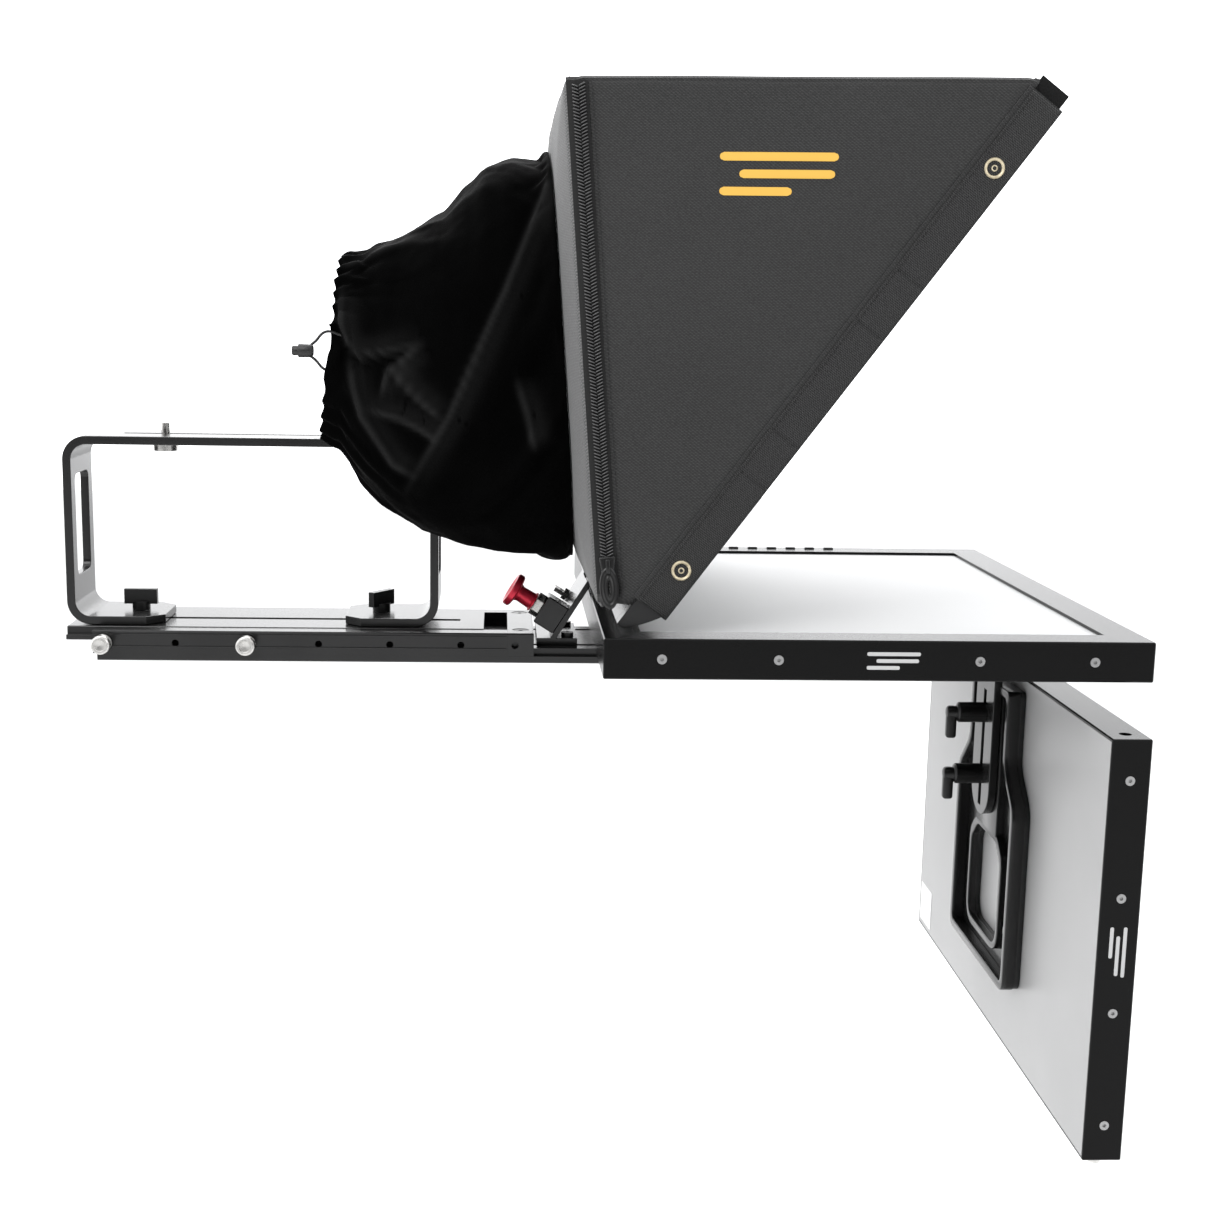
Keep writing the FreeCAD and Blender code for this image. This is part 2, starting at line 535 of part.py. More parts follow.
def hood_corners():
    """Corners of the near side panel's inner face, in order: rear top, rear foot, front foot, front top."""
    half = size("frameHalf") + 0.5
    lean = math.radians(size("frameLean"))
    run = (hood_top() - size("frameZ")) / math.tan(lean)
    foot_s = size("cheekEnd")
    foot = vec(size("frameX") + foot_s * math.cos(lean), 0, size("frameZ") + foot_s * math.sin(lean))
    return [vec(size("hoodTopX"), size("hoodTopHalf"), hood_top()),
            vec(size("hoodFootX"), size("hoodFootHalf"), size("hoodFootZ")),
            vec(foot.x, half, foot.z), vec(size("frameX") + run, half, hood_top())]


def rear_face(z):
    """X of the hood's leaning rear face at a height."""
    share = (z - size("hoodFootZ")) / (hood_top() - size("hoodFootZ"))
    return size("hoodFootX") + share * (size("hoodTopX") - size("hoodFootX"))


def hood_half(z):
    share = (z - size("hoodFootZ")) / (hood_top() - size("hoodFootZ"))
    return size("hoodFootHalf") + share * (size("hoodTopHalf") - size("hoodFootHalf"))


def make_hood():
    cloth, gap = size("cloth"), size("seamGap")
    lean = math.radians(size("frameLean"))
    drop = vec(math.sin(lean), 0, -math.cos(lean)) * size("frameDeep")
    rear_top, rear_foot, front_foot, front_top = hood_corners()
    corners = [rear_top, rear_foot, front_foot, front_foot + drop, front_top + drop, front_top]
    for label, side in (("hood_side_near", -1), ("hood_side_far", 1)):
        ring = [vec(point.x, side * point.y, point.z) for point in corners]
        facets = [polygon_prism([ring[pick] for pick in picks], (0, side * cloth, 0))
                  for picks in ((0, 1, 2), (0, 2, 5), (2, 3, 5), (3, 4, 5))]
        keep(feature(facets[0].fuse(facets[1:]).removeSplitter()), label)
    low, high = size("hoodFootZ"), hood_top()
    front = front_top.x - cloth / math.tan(lean) - gap
    rear = size("hoodTopX") + cloth + gap
    keep(feature(polygon_prism([(rear, -hood_half(high) + gap, high - cloth),
                                (rear, hood_half(high) - gap, high - cloth),
                                (front, size("frameHalf") - gap, high - cloth),
                                (front, -size("frameHalf") + gap, high - cloth)], (0, 0, cloth))), "hood_top")
    panel = polygon_prism([(rear_face(z), side * (hood_half(z) - gap), z)
                           for z, side in ((low, -1), (low, 1), (high, 1), (high, -1))], (cloth, 0, 0))
    lens = Part.makeBox(80, 2 * size("lensHalf"), lens_top() - size("lensLow"),
                        vec(size("hoodTopX") - 20, -size("lensHalf"), size("lensLow")))
    keep(feature(panel.cut(lens)), "hood_rear")


def side_point(side, x, z, off):
    """A point on a hood side panel's outer cloth, off millimetres outside it."""
    top, foot, front, last = hood_corners()
    normal = (foot - top).cross(front - top)
    y = top.y - (normal.x * (x - top.x) + normal.z * (z - top.z)) / normal.y
    return (x, side * (y + size("cloth") + off), z)


def make_hood_trim():
    low, high = size("hoodFootZ"), hood_top()
    zips, off = [], 0.3
    for side in (-1, 1):
        tape = [side_point(side, rear_face(z) + inset, z, off)
                for z, inset in ((low + 4, 3), (low + 4, 11), (high - 4, 11), (high - 4, 3))]
        zips.append(feature(polygon_prism(tape, (0, side * 2, 0))))
    keep(group(*zips), "hood_zippers")
    for label, side in (("zipper_pull_near", -1), ("zipper_pull_far", 1)):
        tab = [side_point(side, rear_face(z) + inset, z, off + 2.4)
               for z, inset in ((low + 6, 3), (low + 6, 12), (low + 34, 12), (low + 34, 3))]
        keep(feature(polygon_prism(tab, (0, side * 3, 0))), label)
    face = size("frameHalf") + 0.5 + size("cloth")
    studs = []
    for s in (size("cheekEnd") + 30, size("frameLong") - 62):
        for side in (-1, 1):
            head = Part.makeCylinder(6.4, 3.4, vec(s, side * face, -size("frameDeep") / 2), vec(0, side, 0))
            socket = Part.makeCylinder(2, 2, vec(s, side * (face + 1.8), -size("frameDeep") / 2),
                                       vec(0, side, 0))
            studs.append(feature(head.cut(socket), FRAME))
    keep(group(*studs), "hood_studs")


# ---------------------------------------------------------------- lens shroud
def shroud_stations():
    """X, half width, top, tunnel roof and skirt bottom at each station from the hem to the mouth."""
    hem, mouth = size("hemX"), size("tunnelEnd")
    return [(hem, size("hemHalf"), size("hemHigh"), size("tunnelTop"), size("hemLow")),
            (hem + 0.44 * (mouth - hem), size("hemHalf") + 14, size("hemHigh") + 13,
             size("tunnelTop") + 2, size("mouthLow") + 32),
            (mouth, size("hemHalf") + 27, size("hemHigh") + 38, size("tunnelTop") + 3, size("mouthLow") + 8),
            (None, size("mouthHalf"), lens_top() + size("mouthRise"), size("mouthLow") + size("velvet"),
             size("mouthLow"))]


def station_ring(x, corners):
    """A closed ring of (y, z) corners; at the mouth its X follows the hood's leaning rear face."""
    points = [vec(rear_face(z) - size("seamGap") if x is None else x, y, z) for y, z in corners]
    return Part.makePolygon(points + [points[0]])


def make_shroud():
    cloth, gap = size("velvet"), size("seamGap")
    stations = shroud_stations()

    def strip(label, corners_at):
        pieces = []
        for first, second in zip(stations, stations[1:]):
            rings = [station_ring(station[0], corners_at(*station[1:])) for station in (first, second)]
            pieces.append(Part.makeLoft(rings, True, True))
        keep(feature(pieces[0].fuse(pieces[1:])), label)

    strip("shroud_top", lambda half, top, roof, low: [(-half, top - cloth), (half, top - cloth),
                                                      (half, top), (-half, top)])
    strip("shroud_bottom", lambda half, top, roof, low: [
        (-half + cloth + gap, roof), (half - cloth - gap, roof), (half - cloth - gap, roof + cloth),
        (-half + cloth + gap, roof + cloth)])
    for label, side in (("shroud_near", -1), ("shroud_far", 1)):
        strip(label, lambda half, top, roof, low, side=side: [
            (side * (half - cloth), low), (side * half, low), (side * half, top - cloth - gap),
            (side * (half - cloth), top - cloth - gap)])
    lock = [rod("x", 4.6, ("hemX - 17", "hemX - 3"), y="-hemHalf + 2.5", z="hemLow + 70"),
            rod("x", 1.2, ("hemX - 20", "hemX - 0.5"), y="-hemHalf + 2.5", z="hemLow + 70")]
    keep(join(*lock), "shroud_cord_lock")


# ---------------------------------------------------------------- hanger and talent monitor
MONITOR_MIDDLE = "talentTop - talentHigh / 2"


def make_hanger():
    foot = box(("hangerX - 58", "hangerX + hangerThick"), ("-hangerHalf", "hangerHalf"), ("-hangerThick", 0))
    arm = box(("hangerX", "hangerX + hangerThick"), ("-hangerHalf", "hangerHalf"),
              ("hangerLow + hangerHalf", 0))
    toe = rod("x", "hangerHalf", ("hangerX", "hangerX + hangerThick"), z="hangerLow + hangerHalf")
    slot = box(("hangerX - 1", "hangerX + hangerThick + 1"), ("-screwRadius - 0.3", "screwRadius + 0.3"),
               ("hangerSlotLow", "hangerSlotHigh"))
    keep(cut(join(foot, arm, toe), slot), "hanger_arm")


def make_talent_plate():
    back, front = "talentX - 0.2", "hangerX + hangerThick + 0.4"
    neck, wide = "neckHalf", "shoulderHalf"
    top, high, low = "talentTop - 10", "talentTop - 66", "talentTop - 232"
    outline = [("-" + neck, top), (neck, top), (neck, high), (wide, high + " - 16"), (wide, low),
               ("-" + wide, low), ("-" + wide, high + " - 16"), ("-" + neck, high)]
    inner = [("-(%s - 5)" % neck, top + " - 5"), ("%s - 5" % neck, top + " - 5"),
             ("%s - 5" % neck, high + " - 2"), ("%s - 5" % wide, high + " - 18"),
             ("%s - 5" % wide, low + " + 5"), ("-(%s - 5)" % wide, low + " + 5"),
             ("-(%s - 5)" % wide, high + " - 18"), ("-(%s - 5)" % neck, high + " - 2")]
    slab = plate_body("talent_plate", "YZ_Plane", outline, "hangerX + 3.3", back)
    tray = plate_body("talent_tray", "YZ_Plane", inner, "hangerX + 2", back + " - 4")
    pad = box((front, back + " - 4"), ("-hangerHalf - 3", "hangerHalf + 3"), ("hangerLow - 12", top + " - 5"))
    open_top = box(("hangerX - 1", front), ("-hangerHalf - 1", "hangerHalf + 1"), (top + " - 6", top + " + 9"))
    rim = box((front, back + " - 1"), (-43, 43), (low + " + 17", "hangerLow - 11"))
    window = box(("hangerX + 2", back + " + 1"), (-38, 38), (low + " + 22", "hangerLow - 16"))
    holes = [rod("x", "screwRadius + runFit", (front + " - 1", back + " + 1"), z=place)
             for place in ("upperKnob", "lowerKnob")]
    for side in (-1, 1):
        for up in (-1, 1):
            holes.append(rod("x", 2.3, ("hangerX + 2", back + " + 1"), y="%d * vesaHalf" % side,
                             z="%s + %d * vesaHalf" % (MONITOR_MIDDLE, up)))
    keep(cut(join(cut(slab, tray), pad, rim), window, open_top, *holes), "talent_mount_plate")


def make_talent_knobs():
    for label, z in (("talent_knob_upper", "upperKnob"), ("talent_knob_lower", "lowerKnob")):
        stem = rod("x", "screwRadius", ("hangerX - 1", "hangerX + hangerThick + 5"), z=z)
        grip = rod("x", 7.2, ("hangerX - 22", "hangerX - 0.3"), z=z)
        lever = box(("hangerX - 29", "hangerX - 21"), (-3.5, 3.5), (z + " - 20", z + " + 5"))
        keep(join(stem, grip, lever), label)


def make_talent_monitor():
    front, half = "talentX + talentThick", "talentHalf"
    low = "talentTop - talentHigh"
    shell = soften(box(("talentX", front), ("-" + half, half), (low, "talentTop")), 0.8,
                   lambda way, mid: True)
    inside = box(("talentX - 1", front + " - wall"), ("-%s + wall" % half, "%s - wall" % half),
                 (low + " + wall", "talentTop - wall"))
    window = box((front + " - wall - 1", front + " + 1"), ("-talentScreen", "talentScreen"),
                 (MONITOR_MIDDLE + " - talentScreenHigh / 2", MONITOR_MIDDLE + " + talentScreenHigh / 2"))
    x = ["talentX + talentThick / 2"] * 4
    z = ["talentTop - 27 - %d * (talentHigh - 52) / 3" % step for step in range(4)]
    holes = screw_rows(x, half + " + 1", z, "wall + 2", 3.15)
    ports = [rod("z", 4, ("talentTop - wall - 1", "talentTop + 1"), x=x[0], y="%d * (talentHalf - 14)" % side)
             for side in (-1, 1)]
    keep(cut(shell, inside, window, *holes, *ports), "talent_frame")
    keep(box(("talentX", "talentX + wall"), ("-%s + wall + 0.2" % half, "%s - wall - 0.2" % half),
             (low + " + wall + 0.2", "talentTop - wall - 0.2")), "talent_back_cover")
    keep(box((front + " - 12", front + " - wall - 0.3"), ("-talentScreen - 9", "talentScreen + 9"),
             (MONITOR_MIDDLE + " - talentScreenHigh / 2 - 10", MONITOR_MIDDLE + " + talentScreenHigh / 2 + 10")),
         "talent_panel")
    keep(join(box(("talentX + 4", "talentX + 6"), (-90, 60), (MONITOR_MIDDLE + " - 60", MONITOR_MIDDLE + " + 50")),
              box(("talentX + 6", "talentX + 11"), (-80, 50), (MONITOR_MIDDLE + " - 60",
                                                               MONITOR_MIDDLE + " - 46"))), "talent_board")
    screws = [cut(head, socket) for head, socket in
              zip(screw_rows(x, half + " + 0.4", z, "wall + 0.4", 3.1),
                  screw_rows(x, half + " + 0.5", z, 1.3, 1.2))]
    for side in (-1, 1):
        for up in (-1, 1):
            screws.append(rod("x", 4.2, ("talentX - 6.6", "talentX - 4.4"), y="%d * vesaHalf" % side,
                              z="%s + %d * vesaHalf" % (MONITOR_MIDDLE, up)))
    keep(group(*screws), "talent_screws")
    keep(group(*[rod("z", 4, (low + " - 7", low), x=x[0], y="%d * (talentHalf - 14)" % side)
                 for side in (-1, 1)]), "talent_studs")


for make in (make_base_rail, make_outer_rail, make_end_block, make_rail_screws, make_camera_plate,
             make_rail_knobs, make_riser, make_riser_screws, make_camera_screw, make_bracket, make_pull_pin,
             make_hinge_pin, make_mount_plate, make_prompter_monitor, make_glass_frame, make_hood,
             make_hood_trim, make_shroud, make_hanger, make_talent_plate, make_talent_knobs,
             make_talent_monitor):
    make()
doc.recompute()

for thing in doc.Objects:
    if "Invalid" in thing.State or "Error" in thing.State:
        raise SystemExit("%s (%s) did not compute" % (thing.Name, thing.Label))
for node in nodes:
    if node.Shape.isNull() or not node.Shape.isValid() or not node.Shape.Solids:
        raise SystemExit("%s has no valid solid" % node.Label)
    node.Shape.exportStep("parts/%s.step" % node.Label)
print("%d nodes" % len(nodes))
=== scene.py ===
import bpy
import bmesh
import json
import math
from mathutils import Matrix, Vector, noise


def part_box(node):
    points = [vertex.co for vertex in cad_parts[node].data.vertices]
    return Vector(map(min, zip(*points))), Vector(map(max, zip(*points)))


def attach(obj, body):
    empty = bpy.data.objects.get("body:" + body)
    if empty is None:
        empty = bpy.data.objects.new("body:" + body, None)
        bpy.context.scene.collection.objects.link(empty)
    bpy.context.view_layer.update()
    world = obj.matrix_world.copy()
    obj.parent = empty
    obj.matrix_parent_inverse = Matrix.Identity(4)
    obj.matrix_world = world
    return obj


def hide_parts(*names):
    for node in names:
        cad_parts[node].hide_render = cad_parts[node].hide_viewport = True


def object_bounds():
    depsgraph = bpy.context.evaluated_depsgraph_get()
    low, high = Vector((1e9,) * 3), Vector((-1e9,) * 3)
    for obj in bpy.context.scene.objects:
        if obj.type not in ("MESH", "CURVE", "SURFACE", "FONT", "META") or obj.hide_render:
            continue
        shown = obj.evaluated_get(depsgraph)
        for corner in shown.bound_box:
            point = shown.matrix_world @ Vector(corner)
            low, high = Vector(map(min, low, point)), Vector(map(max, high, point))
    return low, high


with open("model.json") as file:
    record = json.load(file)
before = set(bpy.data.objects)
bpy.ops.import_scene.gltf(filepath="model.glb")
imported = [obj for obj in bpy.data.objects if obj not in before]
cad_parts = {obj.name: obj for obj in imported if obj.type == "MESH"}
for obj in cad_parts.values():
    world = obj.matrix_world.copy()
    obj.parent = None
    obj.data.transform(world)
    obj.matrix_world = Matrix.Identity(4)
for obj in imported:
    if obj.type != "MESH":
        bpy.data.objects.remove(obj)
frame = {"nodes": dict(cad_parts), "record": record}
cadLow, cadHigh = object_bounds()
print("frame loaded", len(frame["nodes"]), "nodes")


def deselect():
    if bpy.context.object and bpy.context.object.mode != "OBJECT":
        bpy.ops.object.mode_set(mode="OBJECT")
    bpy.ops.object.select_all(action="DESELECT")


def pick(obj):
    deselect()
    obj.select_set(True)
    bpy.context.view_layer.objects.active = obj


# Bakes the object's place into its mesh and names it
def settle(obj, name, matrix=None):
    obj.name = name
    obj.data.name = name
    whole = (matrix or Matrix()) @ obj.matrix_basis
    obj.matrix_basis = Matrix()
    obj.data.transform(whole)
    obj.data.update()
    return obj


def applyMods(obj):
    pick(obj)
    for mod in list(obj.modifiers):
        bpy.ops.object.modifier_apply(modifier=mod.name)
    return obj


def tidyMesh(obj, mergeBy=1e-5):
    pick(obj)
    bpy.ops.object.mode_set(mode="EDIT")
    bpy.ops.mesh.select_all(action="SELECT")
    bpy.ops.mesh.remove_doubles(threshold=mergeBy)
    bpy.ops.mesh.normals_make_consistent(inside=False)
    bpy.ops.object.mode_set(mode="OBJECT")
    return obj


def smooth(obj, degrees=40):
    pick(obj)
    bpy.ops.object.shade_smooth_by_angle(angle=math.radians(degrees))
    return obj


def bevelEdges(obj, width, segments=2, degrees=35):
    mod = obj.modifiers.new("edge", "BEVEL")
    mod.width = width
    mod.segments = segments
    mod.limit_method = "ANGLE"
    mod.angle_limit = math.radians(degrees)
    return applyMods(obj)


# A block between two corners, ready to be shaped
def boxPiece(low, high):
    deselect()
    low, high = Vector(low), Vector(high)
    bpy.ops.mesh.primitive_cube_add(size=1, location=(low + high) / 2)
    obj = bpy.context.object
    obj.scale = high - low
    bpy.ops.object.transform_apply(location=True, scale=True)
    return obj


# Turns a list of (radius, height) points about Z, as on a lathe
def lathe(profile, segments=48):
    deselect()
    bpy.ops.mesh.primitive_plane_add(size=1)
    obj = bpy.context.object
    bm = bmesh.new()
    dots = [bm.verts.new((r, 0, h)) for r, h in profile]
    for first, second in zip(dots, dots[1:]):
        bm.edges.new((first, second))
    bm.to_mesh(obj.data)
    bm.free()
    bpy.ops.object.mode_set(mode="EDIT")
    bpy.ops.mesh.select_all(action="SELECT")
    bpy.ops.mesh.spin(steps=segments, angle=math.tau, center=(0, 0, 0), axis=(0, 0, 1))
    bpy.ops.mesh.remove_doubles(threshold=1e-6)
    bpy.ops.mesh.normals_make_consistent(inside=False)
    bpy.ops.object.mode_set(mode="OBJECT")
    return obj


# Cuts a straight knurl into the faces of a turned piece between two heights
def knurl(obj, low, high, depth, inset=0.22):
    pick(obj)
    for face in obj.data.polygons:
        face.select = low < face.center.z < high and abs(face.normal.z) < 0.2
    for vert in obj.data.vertices:
        vert.select = False
    for edge in obj.data.edges:
        edge.select = False
    bpy.ops.object.mode_set(mode="EDIT")
    bpy.ops.mesh.select_mode(type="FACE")
    bpy.ops.mesh.inset(thickness=depth * inset * 2, depth=depth, use_individual=True)
    bpy.ops.object.mode_set(mode="OBJECT")
    return obj


def joinPieces(objs, name):
    deselect()
    for obj in objs:
        obj.select_set(True)
    bpy.context.view_layer.objects.active = objs[0]
    bpy.ops.object.join()
    return settle(bpy.context.object, name)


# A rotation that stands a piece made along Z along another direction
def axisTurn(direction):
    return Vector((0, 0, 1)).rotation_difference(Vector(direction)).to_matrix().to_4x4()


def nodeBody(node):
    for body, members in frame["record"]["behaviour"]["bodies"].items():
        if node in members:
            return body


def finishPiece(obj, mat, body, slotName, *nodes):
    obj.data.materials.clear()
    obj.data.materials.append(mat)
    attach(obj, body)
    if nodes:
        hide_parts(*nodes)
    return obj


def startMaterial(name, color, rough, metal=0.0):
    mat = bpy.data.materials.new(name)
    mat.use_nodes = True
    shader = mat.node_tree.nodes["Principled BSDF"]
    shader.inputs["Base Color"].default_value = (*color, 1)
    shader.inputs["Roughness"].default_value = rough
    shader.inputs["Metallic"].default_value = metal
    coords = mat.node_tree.nodes.new("ShaderNodeTexCoord")
    return mat, mat.node_tree, shader, coords.outputs["Object"]


def addNoise(tree, source, scale, detail=3, rough=0.55, stretch=(1, 1, 1)):
    mapping = tree.nodes.new("ShaderNodeMapping")
    mapping.inputs["Scale"].default_value = stretch
    tree.links.new(source, mapping.inputs["Vector"])
    tex = tree.nodes.new("ShaderNodeTexNoise")
    tex.inputs["Scale"].default_value = scale
    tex.inputs["Detail"].default_value = detail
    tex.inputs["Roughness"].default_value = rough
    tree.links.new(mapping.outputs["Vector"], tex.inputs["Vector"])
    return tex.outputs["Fac"]


def addWave(tree, source, scale, direction, distortion=0.0):
    tex = tree.nodes.new("ShaderNodeTexWave")
    tex.bands_direction = direction
    tex.inputs["Scale"].default_value = scale
    tex.inputs["Distortion"].default_value = distortion
    tree.links.new(source, tex.inputs["Vector"])
    return tex.outputs["Fac"]


def ramp(tree, source, stops):
    node = tree.nodes.new("ShaderNodeValToRGB")
    for index, (place, color) in enumerate(stops):
        if index > 1:
            node.color_ramp.elements.new(place)
        node.color_ramp.elements[index].position = place
        node.color_ramp.elements[index].color = (*color, 1) if len(color) == 3 else color
    tree.links.new(source, node.inputs["Fac"])
    return node.outputs["Color"]


def math2(tree, kind, first, second):
    node = tree.nodes.new("ShaderNodeMath")
    node.operation = kind
    for index, value in enumerate((first, second)):
        if isinstance(value, (int, float)):
            node.inputs[index].default_value = value
        else:
            tree.links.new(value, node.inputs[index])
    return node.outputs[0]


def addBump(tree, shader, height, distance, strength=1.0):
    node = tree.nodes.new("ShaderNodeBump")
    node.inputs["Distance"].default_value = distance
    node.inputs["Strength"].default_value = strength
    tree.links.new(height, node.inputs["Height"])
    tree.links.new(node.outputs["Normal"], shader.inputs["Normal"])


# Stretches a 0 to 1 pattern to a range, for roughness
def spread(tree, source, low, high):
    node = tree.nodes.new("ShaderNodeMapRange")
    node.inputs["To Min"].default_value = low
    node.inputs["To Max"].default_value = high
    tree.links.new(source, node.inputs["Value"])
    return node.outputs["Result"]


# Drives a shader's colour from a pattern
def colorFrom(tree, shader, source, stops):
    tree.links.new(ramp(tree, source, stops), shader.inputs["Base Color"])


# Drives a shader's roughness from a pattern
def roughFrom(tree, shader, source, low, high):
    tree.links.new(spread(tree, source, low, high), shader.inputs["Roughness"])


def shades(tone, *shares):
    return [tuple(c * share for c in tone) for share in shares]


def grey(value):
    return (value, value, value)


# Anodised aluminium: fine drawn grain, worn a little paler in patches
def anodisedMetal(name, tone, rough=0.34, brushed=(1, 30, 30)):
    mat, tree, shader, place = startMaterial(name, tone, rough, 0.55)
    grain = addNoise(tree, place, 60, 4, 0.7, brushed)
    cloud = addNoise(tree, place, 18, 2)
    dark, pale = shades(tone, 0.93, 1.1)
    colorFrom(tree, shader, cloud, [(0.35, dark), (0.7, pale)])
    roughFrom(tree, shader, grain, rough - 0.03, rough + 0.05)
    addBump(tree, shader, grain, 0.000012)
    return mat


# Powder coat with its fine orange peel
def powderCoat(name, tone, rough=0.5, glint=0.13):
    mat, tree, shader, place = startMaterial(name, tone, rough)
    shader.inputs["Specular IOR Level"].default_value = glint
    peel = addNoise(tree, place, 1400, 2, 0.5)
    cloud = addNoise(tree, place, 9, 3)
    dark, pale = shades(tone, 0.95, 1.05)
    colorFrom(tree, shader, cloud, [(0.3, dark), (0.7, pale)])
    roughFrom(tree, shader, cloud, rough - 0.012, rough + 0.012)
    addBump(tree, shader, peel, 0.00006)
    return mat


def turnedSteel(name, tone=(0.62, 0.61, 0.59), rough=0.26):
    mat, tree, shader, place = startMaterial(name, tone, rough, 1.0)
    cloud = addNoise(tree, place, 220, 3, 0.6)
    roughFrom(tree, shader, cloud, rough - 0.08, rough + 0.12)
    dark, pale = shades(tone, 0.82, 1.08)
    colorFrom(tree, shader, cloud, [(0.3, dark), (0.7, pale)])
    addBump(tree, shader, addNoise(tree, place, 2500, 1), 0.00003)
    return mat


# Pale nickelled brass, rough enough to show its dish from any side
def satinBrass():
    mat, tree, shader, place = startMaterial("satinBrass", (0.62, 0.53, 0.36), 0.36, 0.35)
    cloud = addNoise(tree, place, 420, 2)
    colorFrom(tree, shader, cloud, [(0.3, (0.50, 0.42, 0.28)), (0.7, (0.72, 0.64, 0.46))])
    return mat


# Coated woven nylon: warp and weft threads with paler speckle
def wovenCloth(name, dark, pale, pitch=0.0011, rough=0.82, sheen=0.25):
    mat, tree, shader, place = startMaterial(name, pale, rough)
    shader.inputs["Sheen Weight"].default_value = sheen
    shader.inputs["Sheen Roughness"].default_value = 0.45
    turns = 1 / pitch / 3.18
    threads = math2(tree, "MULTIPLY", addWave(tree, place, turns, "DIAGONAL", 0.6),
                    addWave(tree, place, turns * 1.13, "Z", 0.6))
    speck = addNoise(tree, place, 1 / pitch * 0.8, 2, 0.7)
    mixed = math2(tree, "MULTIPLY", math2(tree, "ADD", threads, 0.35), speck)
    colorFrom(tree, shader, mixed, [(0.12, dark), (0.62, pale)])
    roughFrom(tree, shader, addNoise(tree, place, 14, 3), rough - 0.08, rough + 0.06)
    addBump(tree, shader, mixed, 0.00022, 0.8)
    return mat


# Black velvet: almost no diffuse, a soft sheen where it turns away, and a base colour lifted by painted sheen
# along its seams and folds
def velvetCloth():
    mat, tree, shader, place = startMaterial("blackVelvet", (0.0016, 0.0016, 0.0018), 0.95)
    shader.inputs["Specular IOR Level"].default_value = 0.03
    shader.inputs["Sheen Weight"].default_value = 0.03
    shader.inputs["Sheen Roughness"].default_value = 0.3
    pile = addNoise(tree, place, 900, 2, 0.6)
    brushed = addNoise(tree, place, 22, 3, 0.6)
    # Painted sheen: this point value lightens the base colour along seams and folds, added to a faint random
    # brushed tone
    nap = tree.nodes.new("ShaderNodeAttribute")
    nap.attribute_name = "nap"
    lit = math2(tree, "ADD", math2(tree, "MULTIPLY", brushed, 0.04), nap.outputs["Fac"])
    colorFrom(tree, shader, lit, [(0.012, grey(0.0004)), (0.03, grey(0.0012)), (1.0, grey(0.034))])
    addBump(tree, shader, math2(tree, "ADD", pile, brushed), 0.0003, 0.7)
    return mat


# Strap webbing with ribs along its UV length
def ribbedWebbing():
    mat, tree, shader = startMaterial("strapWebbing", grey(0.035), 0.85)[:3]
    shader.inputs["Sheen Weight"].default_value = 0.05
    uv = tree.nodes.new("ShaderNodeUVMap").outputs["UV"]
    ribs = addWave(tree, uv, 260, "X")
    cross = addWave(tree, uv, 330, "DIAGONAL", 0.8)
    fuzz = addNoise(tree, uv, 900, 2)
    mixed = math2(tree, "MULTIPLY", math2(tree, "ADD", ribs, math2(tree, "MULTIPLY", cross, 0.7)), fuzz)
    colorFrom(tree, shader, mixed, [(0.18, grey(0.004)), (0.72, grey(0.040))])
    addBump(tree, shader, mixed, 0.0005, 0.9)
    return mat


# A display's face: matt polariser film with faint unevenness
def screenGlass(name, tone, rough):
    mat, tree, shader, place = startMaterial(name, tone, rough)
    shader.inputs["Specular IOR Level"].default_value = 0.12
    shader.inputs["Coat Weight"].default_value = 0.02
    shader.inputs["Coat Roughness"].default_value = 0.12
    cloud = addNoise(tree, place, 5, 2)
    colorFrom(tree, shader, cloud, [(0.3, tuple(c * 0.93 for c in tone)), (0.7, tone)])
    addBump(tree, shader, addNoise(tree, place, 2600, 1), 0.00002)
    return mat


def beamGlass():
    mat, tree, shader, place = startMaterial("beamGlass", (0.9, 0.95, 0.94), 0.02)
    shader.inputs["Transmission Weight"].default_value = 1.0
    shader.inputs["IOR"].default_value = 1.5
    roughFrom(tree, shader, addNoise(tree, place, 12, 2), 0.0, 0.03)
    return mat


def circuitBoard():
    mat, tree, shader, place = startMaterial("circuitBoard", (0.03, 0.16, 0.07), 0.5)
    tracks = addWave(tree, place, 90, "Y", 6.0)
    colorFrom(tree, shader, tracks, [(0.45, (0.02, 0.11, 0.05)), (0.55, (0.05, 0.22, 0.09))])
    addBump(tree, shader, tracks, 0.0001)
    return mat


def mouldedPlastic(name, tone, rough=0.45):
    mat, tree, shader, place = startMaterial(name, tone, rough)
    fine = addNoise(tree, place, 1800, 2)
    roughFrom(tree, shader, fine, rough - 0.06, rough + 0.08)
    addBump(tree, shader, fine, 0.00005)
    return mat


